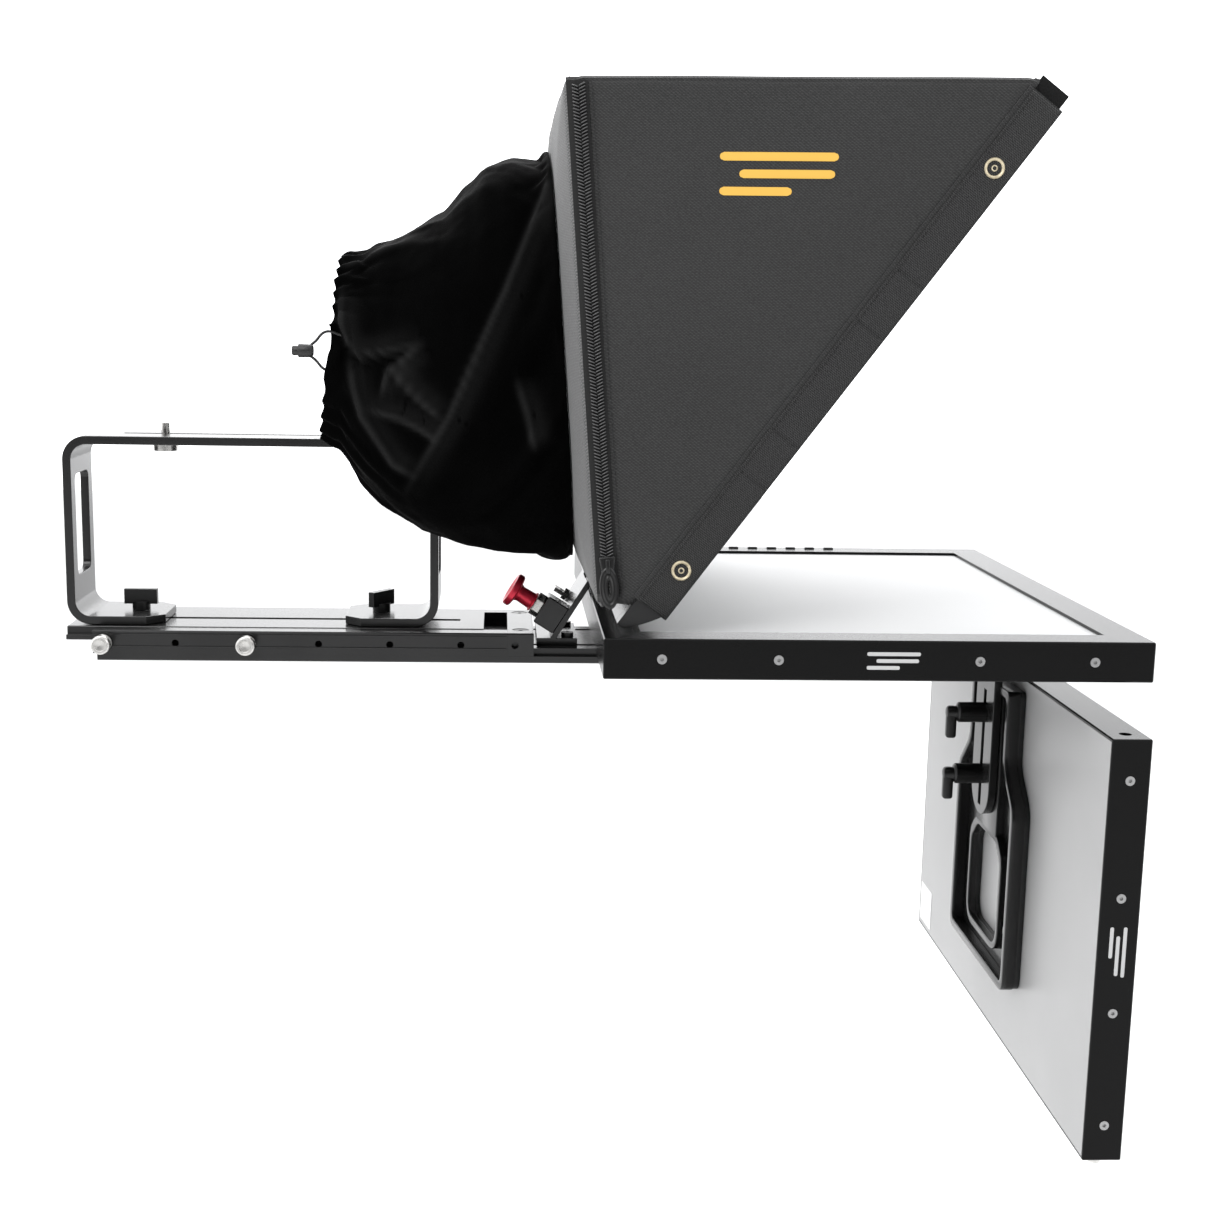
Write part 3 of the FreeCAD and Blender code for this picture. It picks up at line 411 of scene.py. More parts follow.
mats = {
    "black_anodised": anodisedMetal("blackAnodised", grey(0.028), 0.22),
    "black_paint": powderCoat("blackPowder", grey(0.0035), 0.2),
    "turned_steel": turnedSteel("turnedSteel"),
    "black_steel": anodisedMetal("blackSteel", grey(0.018), 0.36, (1, 1, 1)),
    "red_anodised": anodisedMetal("redAnodised", (0.58, 0.022, 0.05), 0.32, (1, 1, 1)),
    # The prompter screen's light grey base colour is painted reflection of the bright surroundings above it
    "screen": screenGlass("prompterScreen", (0.52, 0.523, 0.527), 0.5),
    "talent_screen": screenGlass("talentScreen", (0.02, 0.02, 0.022), 0.25),
    "beam_glass": beamGlass(),
    "circuit": circuitBoard(),
    "hood_cloth": wovenCloth("hoodCloth", grey(0.011), grey(0.041), 0.0011, 0.82, 0.08),
    "hood_back_cloth": wovenCloth("hoodBackCloth", grey(0.05), grey(0.175), 0.0011, 0.82, 0.12),
    "velvet": velvetCloth(),
    "stud_metal": satinBrass(),
    "zip": mouldedPlastic("zipTape", grey(0.0045), 0.8),
    "pull_metal": anodisedMetal("pullMetal", grey(0.03), 0.3, (1, 1, 1)),
    "black_plastic": mouldedPlastic("blackPlastic", grey(0.014)),
    "webbing": ribbedWebbing(),
    "label": mouldedPlastic("paleLabel", grey(0.75), 0.5),
    "plate_metal": powderCoat("plateMetal", grey(0.008), 0.22, 0.35),
    "screw_heads": anodisedMetal("screwHeads", grey(0.35), 0.35, (1, 1, 1)),
    # The talent monitor's back cover: a pale grey base colour painted to stand in for the bright reflection
    # it shows at a grazing view
    "back_painted_reflection": powderCoat("backCoverPaintedReflection", grey(0.32), 0.36, 0.5),
    # Zip coil: the teeth's own dark plastic, with the base colour raised to a mid grey as a painted highlight
    "zip_teeth": mouldedPlastic("zipTeethGlintPaint", grey(0.085), 0.22),
    "thread": mouldedPlastic("sewingThread", grey(0.006), 0.75),
    "gold_print": mouldedPlastic("goldPrint", (0.80, 0.47, 0.08), 0.5),
    "white_print": mouldedPlastic("whitePrint", grey(0.55), 0.5),
}
print("materials", len(mats))

slotOf = {part["node"]: part["material_slot"] for part in frame["record"]["subparts"]}
for name, node in frame["nodes"].items():
    node.data.materials.clear()
    node.data.materials.append(mats[slotOf[name]])


def makeCamera():
    settings = dict(place=(0.12745, -1.26339, 0.25334), yaw=0.0422, down=0.178, roll=0.0158, lens=51.03,
                    shiftX=0.0316, shiftY=0.0075)
    yaw, down, roll = settings["yaw"], settings["down"], settings["roll"]
    forward = Vector((math.sin(yaw) * math.cos(down), math.cos(yaw) * math.cos(down), -math.sin(down)))
    right = Vector((math.cos(yaw), -math.sin(yaw), 0))
    up = right.cross(forward)
    leanRight = right * math.cos(roll) + up * math.sin(roll)
    leanUp = up * math.cos(roll) - right * math.sin(roll)
    data = bpy.data.cameras.new("camera")
    data.lens = settings["lens"]
    data.sensor_width = 36
    data.shift_x = settings["shiftX"]
    data.shift_y = settings["shiftY"]
    camera = bpy.data.objects.new("camera", data)
    bpy.context.collection.objects.link(camera)
    turn = Matrix((leanRight, leanUp, -forward)).transposed().to_4x4()
    camera.matrix_world = Matrix.Translation(settings["place"]) @ turn
    bpy.context.scene.camera = camera


# The surroundings are dim on the camera side, so black metal stays black, and white where seen directly
def lightWorld(tree, settings):
    background = tree.nodes["Background"]
    background.inputs["Color"].default_value = (0.985, 0.99, 1.0, 1)
    coords = tree.nodes.new("ShaderNodeTexCoord")
    split = tree.nodes.new("ShaderNodeSeparateXYZ")
    tree.links.new(coords.outputs["Generated"], split.inputs["Vector"])
    fade = tree.nodes.new("ShaderNodeMapRange")
    fade.interpolation_type = "SMOOTHSTEP"
    fade.inputs["From Min"].default_value = settings["fadeFrom"]
    fade.inputs["From Max"].default_value = settings["fadeTo"]
    fade.inputs["To Min"].default_value = settings["dim"]
    fade.inputs["To Max"].default_value = settings["bright"]
    tree.links.new(split.outputs["Y"], fade.inputs["Value"])
    seen = tree.nodes.new("ShaderNodeLightPath")
    lift = math2(tree, "MAXIMUM", fade.outputs["Result"], seen.outputs["Is Camera Ray"])
    tree.links.new(math2(tree, "MULTIPLY", lift, settings["world"]), background.inputs["Strength"])


def makeStage():
    settings = dict(floorBelow=0.45, size=16.0, tone=0.70, world=1.0, dim=0.08, bright=2.2,
                    fadeFrom=-0.95, fadeTo=0.1)
    deselect()
    bpy.ops.mesh.primitive_plane_add(size=settings["size"],
                                     location=(0.1, 0, cadLow.z - settings["floorBelow"]))
    floor = settle(bpy.context.object, "studioFloor")
    mat, tree, shader, place = startMaterial("studioFloor", grey(settings["tone"]), 0.7)
    cloud = addNoise(tree, place, 3, 2)
    colorFrom(tree, shader, cloud, [(0.3, grey(settings["tone"] * 0.985)), (0.7, grey(settings["tone"]))])
    floor.data.materials.append(mat)
    world = bpy.data.worlds.new("studio")
    bpy.context.scene.world = world
    world.use_nodes = True
    lightWorld(world.node_tree, settings)
    lamps = [dict(name="key", place=(-0.9, -1.7, 1.9), size=1.2, power=30),
             dict(name="fill", place=(1.9, -1.5, 1.1), size=1.4, power=9),
             dict(name="back", place=(0.3, 1.8, 1.6), size=1.5, power=45)]
    for lamp in lamps:
        data = bpy.data.lights.new(lamp["name"], "AREA")
        data.energy = lamp["power"]
        data.size = lamp["size"]
        light = bpy.data.objects.new(lamp["name"], data)
        bpy.context.collection.objects.link(light)
        light.location = lamp["place"]
        aim = Vector((0.2, 0, 0.1)) - light.location
        light.rotation_euler = aim.to_track_quat("-Z", "Y").to_euler()


makeCamera()
makeStage()
bpy.context.scene.view_settings.view_transform = "Standard"
print("camera and stage")


rearLow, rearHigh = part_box("hood_rear")
topLow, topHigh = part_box("hood_top")
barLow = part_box("frame_side_near")[0]
hood = dict(cloth=0.004, topHalf=0.1545, slope=math.radians(53.5), rearSwell=0.0085, rearOut=0.0045)
hood.update(topX=rearLow.x - hood["rearOut"], topZ=rearHigh.z,
            footX=rearHigh.x - hood["cloth"] - hood["rearOut"], footZ=rearLow.z,
            footHalf=rearHigh.y, frontHalf=-barLow.y)
upSlope = Vector((math.cos(hood["slope"]), 0, math.sin(hood["slope"])))
offSlope = Vector((math.sin(hood["slope"]), 0, -math.cos(hood["slope"])))
slopeFoot = Vector((0.2, 0, 0.0505))


def rearX(z):
    share = (z - hood["footZ"]) / (hood["topZ"] - hood["footZ"])
    return hood["footX"] + share * (hood["topX"] - hood["footX"])


def rearHalf(z):
    share = (z - hood["footZ"]) / (hood["topZ"] - hood["footZ"])
    return hood["footHalf"] + share * (hood["topHalf"] - hood["footHalf"])


def slopeX(z):
    return slopeFoot.x + (z - slopeFoot.z) / math.tan(hood["slope"])


# Half width of the hood's side cloth: it widens from the rear edge to the glass frame
def clothHalf(x, z):
    back, front = rearX(z), max(slopeX(z), rearX(z) + 0.01)
    share = min(max((x - back) / (front - back), 0.0), 1.0)
    outer = hood["frontHalf"] + 0.0008
    return rearHalf(z) + share * (outer - rearHalf(z))


# A point on a hood side's outer cloth, off metres outside it
def sideSpot(side, x, z, off):
    return Vector((x, side * (clothHalf(x, z) + hood["cloth"] + off), z))


# Reads a list of (x, value) with smooth joins
def easeBetween(points, x):
    if x <= points[0][0]:
        return points[0][1]
    for (x0, v0), (x1, v1) in zip(points, points[1:]):
        if x <= x1:
            share = (x - x0) / (x1 - x0)
            return v0 + (v1 - v0) * (share * 0.6 + share * share * (3 - 2 * share) * 0.4)
    return points[-1][1]


# A flat grid from the primitive, with u and v in 0 to 1 held in each vertex
def clothGrid(columns, rows):
    deselect()
    bpy.ops.mesh.primitive_grid_add(x_subdivisions=columns, y_subdivisions=rows, size=1,
                                    location=(0.5, 0.5, 0))
    return settle(bpy.context.object, "grid")


def shapeGrid(obj, placeAt):
    for vert in obj.data.vertices:
        vert.co = placeAt(min(max(vert.co.x, 0.0), 1.0), min(max(vert.co.y, 0.0), 1.0))
    obj.data.update()
    return obj


# Turns an open sheet's faces over if most of them look away from a direction
def faceToward(obj, direction):
    way = Vector(direction)
    if sum(face.normal.dot(way) * face.area for face in obj.data.polygons) < 0:
        obj.data.flip_normals()


# Joins two closed rows of points with a band of faces
def bandBetween(bm, first, second):
    for step in range(len(first)):
        after = (step + 1) % len(first)
        bm.faces.new((first[step], first[after], second[after], second[step]))


def thicken(obj, thick, offset=-1.0):
    mod = obj.modifiers.new("wall", "SOLIDIFY")
    mod.thickness = thick
    mod.offset = offset
    mod.use_even_offset = False
    return applyMods(obj)


shroud = dict(
    around=150, rings=74, thick=0.0014, frames=20, slack=0.03, cap=0.008, pull=0.25,
    top=[(0.0, 0.283), (0.012, 0.290), (0.030, 0.302), (0.042, 0.305), (0.085, 0.322), (0.108, 0.342),
         (0.122, 0.354), (0.145, 0.360), (0.18, 0.360)],
    low=[(0.0, 0.153), (0.018, 0.143), (0.032, 0.124), (0.05, 0.106), (0.073, 0.094), (0.108, 0.083),
         (0.15, 0.0745), (0.19, 0.0745)],
    hemLean=0.11,
    half=[(0.0, 0.070), (0.016, 0.074), (0.045, 0.090), (0.09, 0.104), (0.14, 0.113), (0.19, 0.111)],
    roof=0.1645, riserHalf=0.040, riserEnd=0.122, hemX=0.0035, long=0.178, hemTurn=0.16,
    gather=0.0026, gatherFade=0.030, gathers=31, broad=0.0085, middleZ=0.215)


def shroudPoint(u, v):
    hemX = shroud["hemX"]
    angle = math.tau * v
    nominal = hemX + u * shroud["long"]
    half = easeBetween(shroud["half"], nominal)
    top, low = easeBetween(shroud["top"], nominal), easeBetween(shroud["low"], nominal)
    power = 0.62 + 0.14 * u
    cos, sin = math.cos(angle), math.sin(angle)
    y = half * math.copysign(abs(cos) ** power, cos)
    z = (top + low) / 2 + (top - low) / 2 * math.copysign(abs(sin) ** power, sin)
    if nominal < shroud["riserEnd"] + 0.03:
        out = min(max((abs(y) - shroud["riserHalf"]) / 0.016, 0.0), 1.0)
        near = min(max((shroud["riserEnd"] + 0.03 - nominal) / 0.03, 0.0), 1.0)
        lift = (1 - out * out * (3 - 2 * out)) * near
        z += lift * max(shroud["roof"] - z, 0.0)
    hem = hemX + shroud["hemLean"] * max(z - shroud["hemTurn"], 0)
    x = hem + u * (rearX(z) - hood["rearSwell"] - 0.0008 - hem)
    return Vector((x, y, z))


# Gathers at the elastic hem, and broad folds that run back from it
def shroudFolds(u, v, point, normal):
    angle = math.tau * v
    reach = u * shroud["long"]
    ring = Vector((math.cos(angle), math.sin(angle), 0))
    wander = noise.noise(ring * 1.7 + Vector((0, 0, reach * 9)))
    fade = math.exp(-(reach / shroud["gatherFade"]) ** 2)
    gather = shroud["gather"] * fade * math.cos(shroud["gathers"] * angle + 5 * wander)
    ridge = noise.noise(ring * 2.6 + Vector((reach * 7, 3.1, reach * 4)))
    broad = shroud["broad"] * (0.5 - abs(ridge)) * math.sin(math.pi * min(max(u, 0), 1)) ** 0.7
    return point + normal * (gather + broad)


# Sewn seams and deep folds: points (x, z) on the near side, how far they stand out, and their half width
seams = [dict(points=[(0.160, 0.338), (0.158, 0.330), (0.132, 0.264), (0.113, 0.222), (0.095, 0.180),
                      (0.065, 0.128)],
              ridge=0.0022, wide=0.0022, step=0.0012, reach=0.012),
         dict(points=[(0.0245, 0.217), (0.028, 0.197), (0.034, 0.177), (0.056, 0.145), (0.071, 0.137)],
              ridge=0.0018, wide=0.0020, step=0.0008, reach=0.008)]
folds = [dict(points=[(0.0205, 0.262), (0.021, 0.240), (0.025, 0.226), (0.035, 0.219), (0.050, 0.221),
                      (0.076, 0.228)],
              ridge=0.0034, wide=0.0032, step=0.0062, reach=0.024),
         dict(points=[(0.076, 0.227), (0.062, 0.216), (0.051, 0.208), (0.047, 0.190)],
              ridge=0.0028, wide=0.0028, step=0.0036, reach=0.012),
         dict(points=[(0.052, 0.212), (0.066, 0.197), (0.078, 0.186), (0.090, 0.177)],
              ridge=0.0020, wide=0.0030, step=0.0026, reach=0.010),
         dict(points=[(0.037, 0.182), (0.061, 0.176), (0.074, 0.170), (0.088, 0.162)],
              ridge=0.0020, wide=0.0028, step=0.0026, reach=0.010),
         dict(points=[(0.020, 0.278), (0.048, 0.290), (0.075, 0.300)],
              ridge=0.0024, wide=0.006, step=-0.0014, reach=0.014),
         dict(points=[(0.139, 0.205), (0.147, 0.180), (0.152, 0.158)],
              ridge=0.0016, wide=0.006, step=0.0008, reach=0.014)]


# The crease shapes, and the strength and width of the painted sheen line and painted lit band along each seam
# and fold
press = dict(ease=5, stub=0.15, past=0.004, soft=0.6, rub=0.38, rubWide=0.0024, shade=0.13, shadeOff=0.006,
             wrinkle=0.0011, wrinkleScale=42, grain=0.00035, grainScale=130, cheek=0.040, cheekFade=0.02,
             farShift=0.007)


# How far one seam or fold lifts the cloth: a ridge on its line, and a step across it; and how much it
# lightens the cloth with a painted sheen line along it and a painted lit band on its upper side
def strokeLift(stroke, x, z):
    nearest = None
    points = stroke["points"]
    for number, (first, second) in enumerate(zip(points, points[1:])):
        runX, runZ = second[0] - first[0], second[1] - first[1]
        share = ((x - first[0]) * runX + (z - first[1]) * runZ) / (runX * runX + runZ * runZ)
        held = min(max(share, 0.0), 1.0)
        awayX, awayZ = x - first[0] - held * runX, z - first[1] - held * runZ
        away = math.hypot(awayX, awayZ)
        if nearest is None or away < nearest[0]:
            above = math.copysign(1, runX * awayZ - runZ * awayX)
            nearest = (away, above, (number + held) / (len(points) - 1), away if share != held else 0)
    away, above, place, past = nearest
    ends = min(place, 1 - place) * press["ease"] + press["stub"]
    fade = min(1.0, ends) * math.exp(-(past / press["past"]) ** 2)
    ridge = stroke["ridge"] * math.exp(-(away / stroke["wide"]) ** 2)
    rise = 1 - math.exp(-(away / stroke["wide"]) ** 2)
    step = stroke["step"] * above * rise * math.exp(-(away / stroke["reach"]) ** 1.5) * press["soft"]
    # Painted sheen: a pale line along the seam or fold
    paintedSheen = press["rub"] * math.exp(-(away / press["rubWide"]) ** 2)
    # Painted light: a lighter band beside the upper side of each seam and fold, as if lit there
    if above > 0:
        paintedSheen += press["shade"] * math.exp(-((away - press["shadeOff"]) / press["shadeOff"]) ** 2)
    return fade * (ridge + step), fade * paintedSheen


drape = dict(quality=6, mass=0.35, tension_stiffness=12, compression_stiffness=12, shear_stiffness=4,
             bending_stiffness=0.35)
stay = dict(mouth=0.004, hem=0.020, gap=0.002, low=(-0.06, -0.0345, 0.10), high=(0.119, 0.0345, 0.1615))


# Drapes the shroud over a block that stands for the riser, with hem and mouth held
def simulateShroud(obj):
    scene = bpy.context.scene
    pins = obj.vertex_groups.new(name="held")
    for vert in obj.data.vertices:
        toMouth = rearX(vert.co.z) - hood["rearSwell"] - vert.co.x
        if toMouth < stay["mouth"] or vert.co.x < stay["hem"]:
            pins.add([vert.index], 1.0, "REPLACE")
    proxy = boxPiece(stay["low"], stay["high"])
    proxy.modifiers.new("stop", "COLLISION")
    proxy.collision.thickness_outer = stay["gap"]
    cloth = obj.modifiers.new("drape", "CLOTH")
    for setting, value in drape.items():
        setattr(cloth.settings, setting, value)
    cloth.settings.shrink_min = -shroud["slack"]
    cloth.settings.vertex_group_mass = "held"
    cloth.settings.effector_weights.gravity = shroud["pull"]
    cloth.collision_settings.distance_min = stay["gap"]
    cloth.point_cache.frame_start = 1
    cloth.point_cache.frame_end = shroud["frames"]
    start = [vert.co.copy() for vert in obj.data.vertices]
    for step in range(1, shroud["frames"] + 1):
        scene.frame_set(step)
    pick(obj)
    bpy.ops.object.modifier_apply(modifier="drape")
    scene.frame_set(1)
    for vert, before in zip(obj.data.vertices, start):
        move = vert.co - before
        if move.length > shroud["cap"]:
            vert.co = before + move.normalized() * shroud["cap"]
    bpy.data.objects.remove(proxy, do_unlink=True)
    obj.vertex_groups.clear()


def makeShroud():
    obj = clothGrid(shroud["rings"], shroud["around"])

    def placed(u, v):
        here = shroudPoint(u, v)
        across = shroudPoint(u, (v + 0.004) % 1) - shroudPoint(u, (v - 0.004) % 1)
        along = shroudPoint(min(u + 0.01, 1), v) - shroudPoint(max(u - 0.01, 0), v)
        normal = along.cross(across).normalized()
        middle = Vector((here.x, 0, shroud["middleZ"]))
        if normal.dot(here - middle) < 0:
            normal = -normal
        return shroudFolds(u, v, here, normal)

    shapeGrid(obj, placed)
    tidyMesh(obj, 2e-5)
    simulateShroud(obj)
    soften = obj.modifiers.new("soft", "SUBSURF")
    soften.levels = soften.render_levels = 1
    applyMods(obj)
    moves = []
    # Painted sheen along seams and folds, kept on each point for the velvet's base colour
    nap = obj.data.attributes.new("nap", "FLOAT", "POINT")
    for vert in obj.data.vertices:
        spot = vert.co
        paintedSheenSum = 0.0
        crease = noise.noise(spot * press["wrinkleScale"]) * press["wrinkle"]
        crease += noise.noise(spot * press["grainScale"] + Vector((7, 1, 3))) * press["grain"]
        sideways = min(max((abs(spot.y) - press["cheek"]) / press["cheekFade"], 0.0), 1.0)
        if sideways > 0:
            shift = 0.0 if spot.y < 0 else press["farShift"]
            marks = [strokeLift(stroke, spot.x, spot.z) for stroke in seams]
            marks += [strokeLift(stroke, spot.x - shift, spot.z + shift) for stroke in folds]
            crease += sideways * sum(lift for lift, paintedSheen in marks)
            paintedSheenSum = sideways * sum(paintedSheen for lift, paintedSheen in marks)
        nap.data[vert.index].value = min(paintedSheenSum, 1.0)
        moves.append(vert.normal * crease)
    for vert, move in zip(obj.data.vertices, moves):
        vert.co += move
    thicken(obj, shroud["thick"])
    settle(obj, "lensShroud")
    smooth(obj, 180)
    finishPiece(obj, mats["velvet"], "glass_frame", "velvet",
                "shroud_top", "shroud_bottom", "shroud_near", "shroud_far")


makeShroud()
lockLow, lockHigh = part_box("shroud_cord_lock")


# The barrel toggle on the shroud's drawstring, with the cord's two short ends
def makeCordLock():
    lock = dict(radius=0.0046, long=0.0145, cord=0.0010, inward=0.0045, bend=0.02,
                route=[(0.001, 0.0012), (0.008, 0.0050), (0.013, 0.0125), (0.019, 0.0135), (0.026, 0.010),
                       (0.041, 0.0085)])
    middle = (lockLow + lockHigh) / 2
    r, half = lock["radius"], lock["long"] / 2
    barrel = lathe([(0, -half), (r * 0.7, -half), (r * 0.92, -half * 0.86), (r, -half * 0.5),
                    (r, half * 0.35), (r * 0.9, half * 0.42), (r * 0.74, half * 0.45), (r * 0.74, half * 0.9),
                    (r * 0.6, half), (0, half)], 32)
    settle(barrel, "barrel", Matrix.Translation(middle) @ axisTurn((-1, 0, 0)))
    strands = []
    for up in (-1, 1):
        curve = bpy.data.curves.new("strand", "CURVE")
        curve.dimensions = "3D"
        spline = curve.splines.new("NURBS")
        spline.points.add(len(lock["route"]) - 1)
        for point, (along, rise) in zip(spline.points, lock["route"]):
            inward = lock["inward"] * min(along / lock["bend"], 1.0)
            point.co = (middle.x + along, middle.y + inward, middle.z + up * rise, 1)
        spline.order_u = 3
        spline.use_endpoint_u = True
        curve.bevel_depth = lock["cord"]
        curve.bevel_resolution = 3
        curve.use_fill_caps = True
        strand = bpy.data.objects.new("strand", curve)
        bpy.context.collection.objects.link(strand)
        pick(strand)
        bpy.ops.object.convert(target="MESH")
        strands.append(bpy.context.object)
    whole = joinPieces([barrel] + strands, "cordLock")
    smooth(whole, 45)
    finishPiece(whole, mats["black_plastic"], "cord_lock", "black_plastic", "shroud_cord_lock")


makeCordLock()
print("shroud and cord lock")


hoodLook = dict(columns=96, rows=96, puff=0.0014, ripple=0.0005, edge=0.0022, zipInset=0.0125, roll=0.0022,
                valley=0.0011, valleyWide=0.0016, sink=0.0006, sideThick=0.0030, topThick=0.0032,
                topSag=0.0016, rearThick=0.0030, mouthHalf=0.104, mouthTall=0.126, rearRings=22, rimSteps=40)


# Closer loops near both ends of a panel, so that its edges roll over
def spacing(share):
    return 0.5 - 0.5 * math.cos(math.pi * share)


# How far the cloth turns down near an edge
def edgeRoll(share, length):
    away = min(share, 1 - share) * length
    return hoodLook["edge"] * math.exp(-(away / hoodLook["roll"]) ** 2)


def makeSidePanel(side, word):
    obj = clothGrid(hoodLook["columns"], hoodLook["rows"])
    low, high = hood["footZ"] + 0.002, hood["topZ"] - 0.0005

    def placed(u, v):
        u, v = spacing(u), spacing(v)
        z = low + v * (high - low)
        x = rearX(z) + u * (slopeX(z) + 0.001 - rearX(z))
        wide = slopeX(z) - rearX(z)
        bulge = hoodLook["puff"] * math.sin(math.pi * u) ** 0.6 * math.sin(math.pi * v) ** 0.6
        bulge += hoodLook["ripple"] * noise.noise(Vector((x * 16, side * 3, z * 16)))
        roll = edgeRoll(v, high - low) + edgeRoll(u, wide)
        fromZip = u * wide - hoodLook["zipInset"]
        valley = hoodLook["valley"] * math.exp(-(fromZip / hoodLook["valleyWide"]) ** 2)
        return sideSpot(side, x, z, bulge - roll - valley - hoodLook["sink"])

    shapeGrid(obj, placed)
    tidyMesh(obj, 1e-6)
    faceToward(obj, (0, side, 0))
    thicken(obj, hoodLook["sideThick"])
    settle(obj, "hoodSide" + word)
    smooth(obj, 60)
    finishPiece(obj, mats["hood_cloth"], "glass_frame", "hood_cloth", "hood_side_" + word.lower())


def makeTopPanel():
    obj = clothGrid(64, 96)

    def placed(u, v):
        u, v = spacing(u), spacing(v)
        x = topLow.x - 0.0025 + u * (topHigh.x - topLow.x + 0.003)
        half = clothHalf(x, hood["topZ"]) + hood["cloth"] * 0.8
        sag = hoodLook["topSag"] * math.sin(math.pi * u) * math.sin(math.pi * v)
        ripple = 0.0004 * noise.noise(Vector((x * 14, v * 5, 2)))
        return Vector((x, (2 * v - 1) * half, hood["topZ"] + 0.0006 - sag + ripple
                       - edgeRoll(v, 2 * half) * 0.8 - edgeRoll(u, 0.28) * 0.5))

    shapeGrid(obj, placed)
    tidyMesh(obj, 1e-6)
    faceToward(obj, (0, 0, 1))
    thicken(obj, hoodLook["topThick"])
    settle(obj, "hoodTop")
    smooth(obj, 60)
    finishPiece(obj, mats["hood_cloth"], "glass_frame", "hood_cloth", "hood_top")


# The rear wall runs from its trapezoid edge in to the shroud's mouth
def makeRearPanel():
    low, high = hood["footZ"] - 0.001, hood["topZ"]
    centre = Vector((0, 0.5 * (shroudPoint(1, 0.25).z + shroudPoint(1, 0.75).z)))
    rim = []
    corners = [(-rearHalf(low), low), (rearHalf(low), low), (rearHalf(high), high), (-rearHalf(high), high)]
    for number, (y0, z0) in enumerate(corners):
        y1, z1 = corners[(number + 1) % 4]
        for step in range(hoodLook["rimSteps"]):
            share = step / hoodLook["rimSteps"]
            rim.append(Vector((y0 + (y1 - y0) * share, z0 + (z1 - z0) * share)))
    mouth = []
    for spot in rim:
        angle = math.atan2(spot.y - centre.y, spot.x)
        half, tall = hoodLook["mouthHalf"], hoodLook["mouthTall"]
        cos, sin = math.cos(angle), math.sin(angle)
        reach = (abs(cos / half) ** 3 + abs(sin / tall) ** 3) ** (-1 / 3)
        mouth.append(Vector((reach * cos, centre.y + reach * sin)))
    rings = hoodLook["rearRings"]
    deselect()
    bpy.ops.mesh.primitive_plane_add(size=1)
    obj = bpy.context.object
    bm = bmesh.new()
    rows = []
    for ring in range(rings + 1):
        share = spacing(ring / rings)
        row = []
        for outer, inner in zip(rim, mouth):
            spot = outer.lerp(inner, share)
            bulge = hood["rearSwell"] * math.sin(math.pi / 2 * share) ** 0.8
            bulge += 0.0005 * noise.noise(Vector((spot.x * 15, spot.y * 15, 5)))
            roll = hoodLook["edge"] * math.exp(-(share * 0.06 / hoodLook["roll"]) ** 2)
            row.append(bm.verts.new((rearX(spot.y) - bulge + roll, spot.x, spot.y)))
        rows.append(row)
    for first, second in zip(rows, rows[1:]):
        bandBetween(bm, first, second)
    bm.to_mesh(obj.data)
    bm.free()
    faceToward(obj, (-1, 0, 0))
    thicken(obj, hoodLook["rearThick"])
    settle(obj, "hoodRear")
    smooth(obj, 60)
    finishPiece(obj, mats["hood_back_cloth"], "glass_frame", "hood_back_cloth", "hood_rear")


for side, word in ((-1, "Near"), (1, "Far")):
    makeSidePanel(side, word)
makeTopPanel()
makeRearPanel()
print("hood panels")


# Repeats a small piece at every place, in one mesh
def scatter(template, places, name):
    bm = bmesh.new()
    for place in places:
        before = len(bm.verts)
        bm.from_mesh(template.data)
        bm.verts.ensure_lookup_table()
        bmesh.ops.transform(bm, matrix=place, verts=bm.verts[before:])
    bm.to_mesh(template.data)
    bm.free()
    return settle(template, name)


# A place whose Y runs along forward and whose Z points outward
def lieAlong(spot, forward, outward):
    across = forward.cross(outward).normalized()
    outward = across.cross(forward).normalized()
    turn = Matrix((across, forward.normalized(), outward)).transposed().to_4x4()
    return Matrix.Translation(spot) @ turn


# Thread stitches laid end to end along a path of points
def stitchRow(spots, outward, name, gap=0.0034, long=0.0024, thick=0.00032):
    deselect()
    bpy.ops.mesh.primitive_uv_sphere_add(segments=8, ring_count=6, radius=1)
    template = bpy.context.object
    template.scale = (thick, long / 2, thick)
    settle(template, "stitch")
    places, carried = [], gap / 2
    for first, second in zip(spots, spots[1:]):
        reach = (second - first).length
        while carried < reach:
            spot = first.lerp(second, carried / reach)
            places.append(lieAlong(spot, second - first, outward))
            carried += gap
        carried -= reach
    return scatter(template, places, name)


# Lays the UV map flat, in metres, along a strip
def uvAlong(obj, start, along, across):
    layer = obj.data.uv_layers.new(name="along") if not obj.data.uv_layers else obj.data.uv_layers[0]
    for loop in obj.data.loops:
        away = obj.data.vertices[loop.vertex_index].co - start
        layer.data[loop.index].uv = (away.dot(along), away.dot(across))


strap = dict(start=0.0275, end=0.4185, wide=0.0212, thick=0.0013, crown=0.0003, lift=0.0014,
             tacks=[0.1296, 0.162, 0.246, 0.285], tackDeep=0.0009, tackWide=0.0011, hemPast=0.0015)


# A point on the hood's slanted band: s up the slope, w down off it, off outside the cloth
def slopeSpot(side, s, w, off):
    spot = slopeFoot + upSlope * s + offSlope * w
    return Vector((spot.x, side * (hood["frontHalf"] + 0.0008 + hood["cloth"] + off), spot.z))


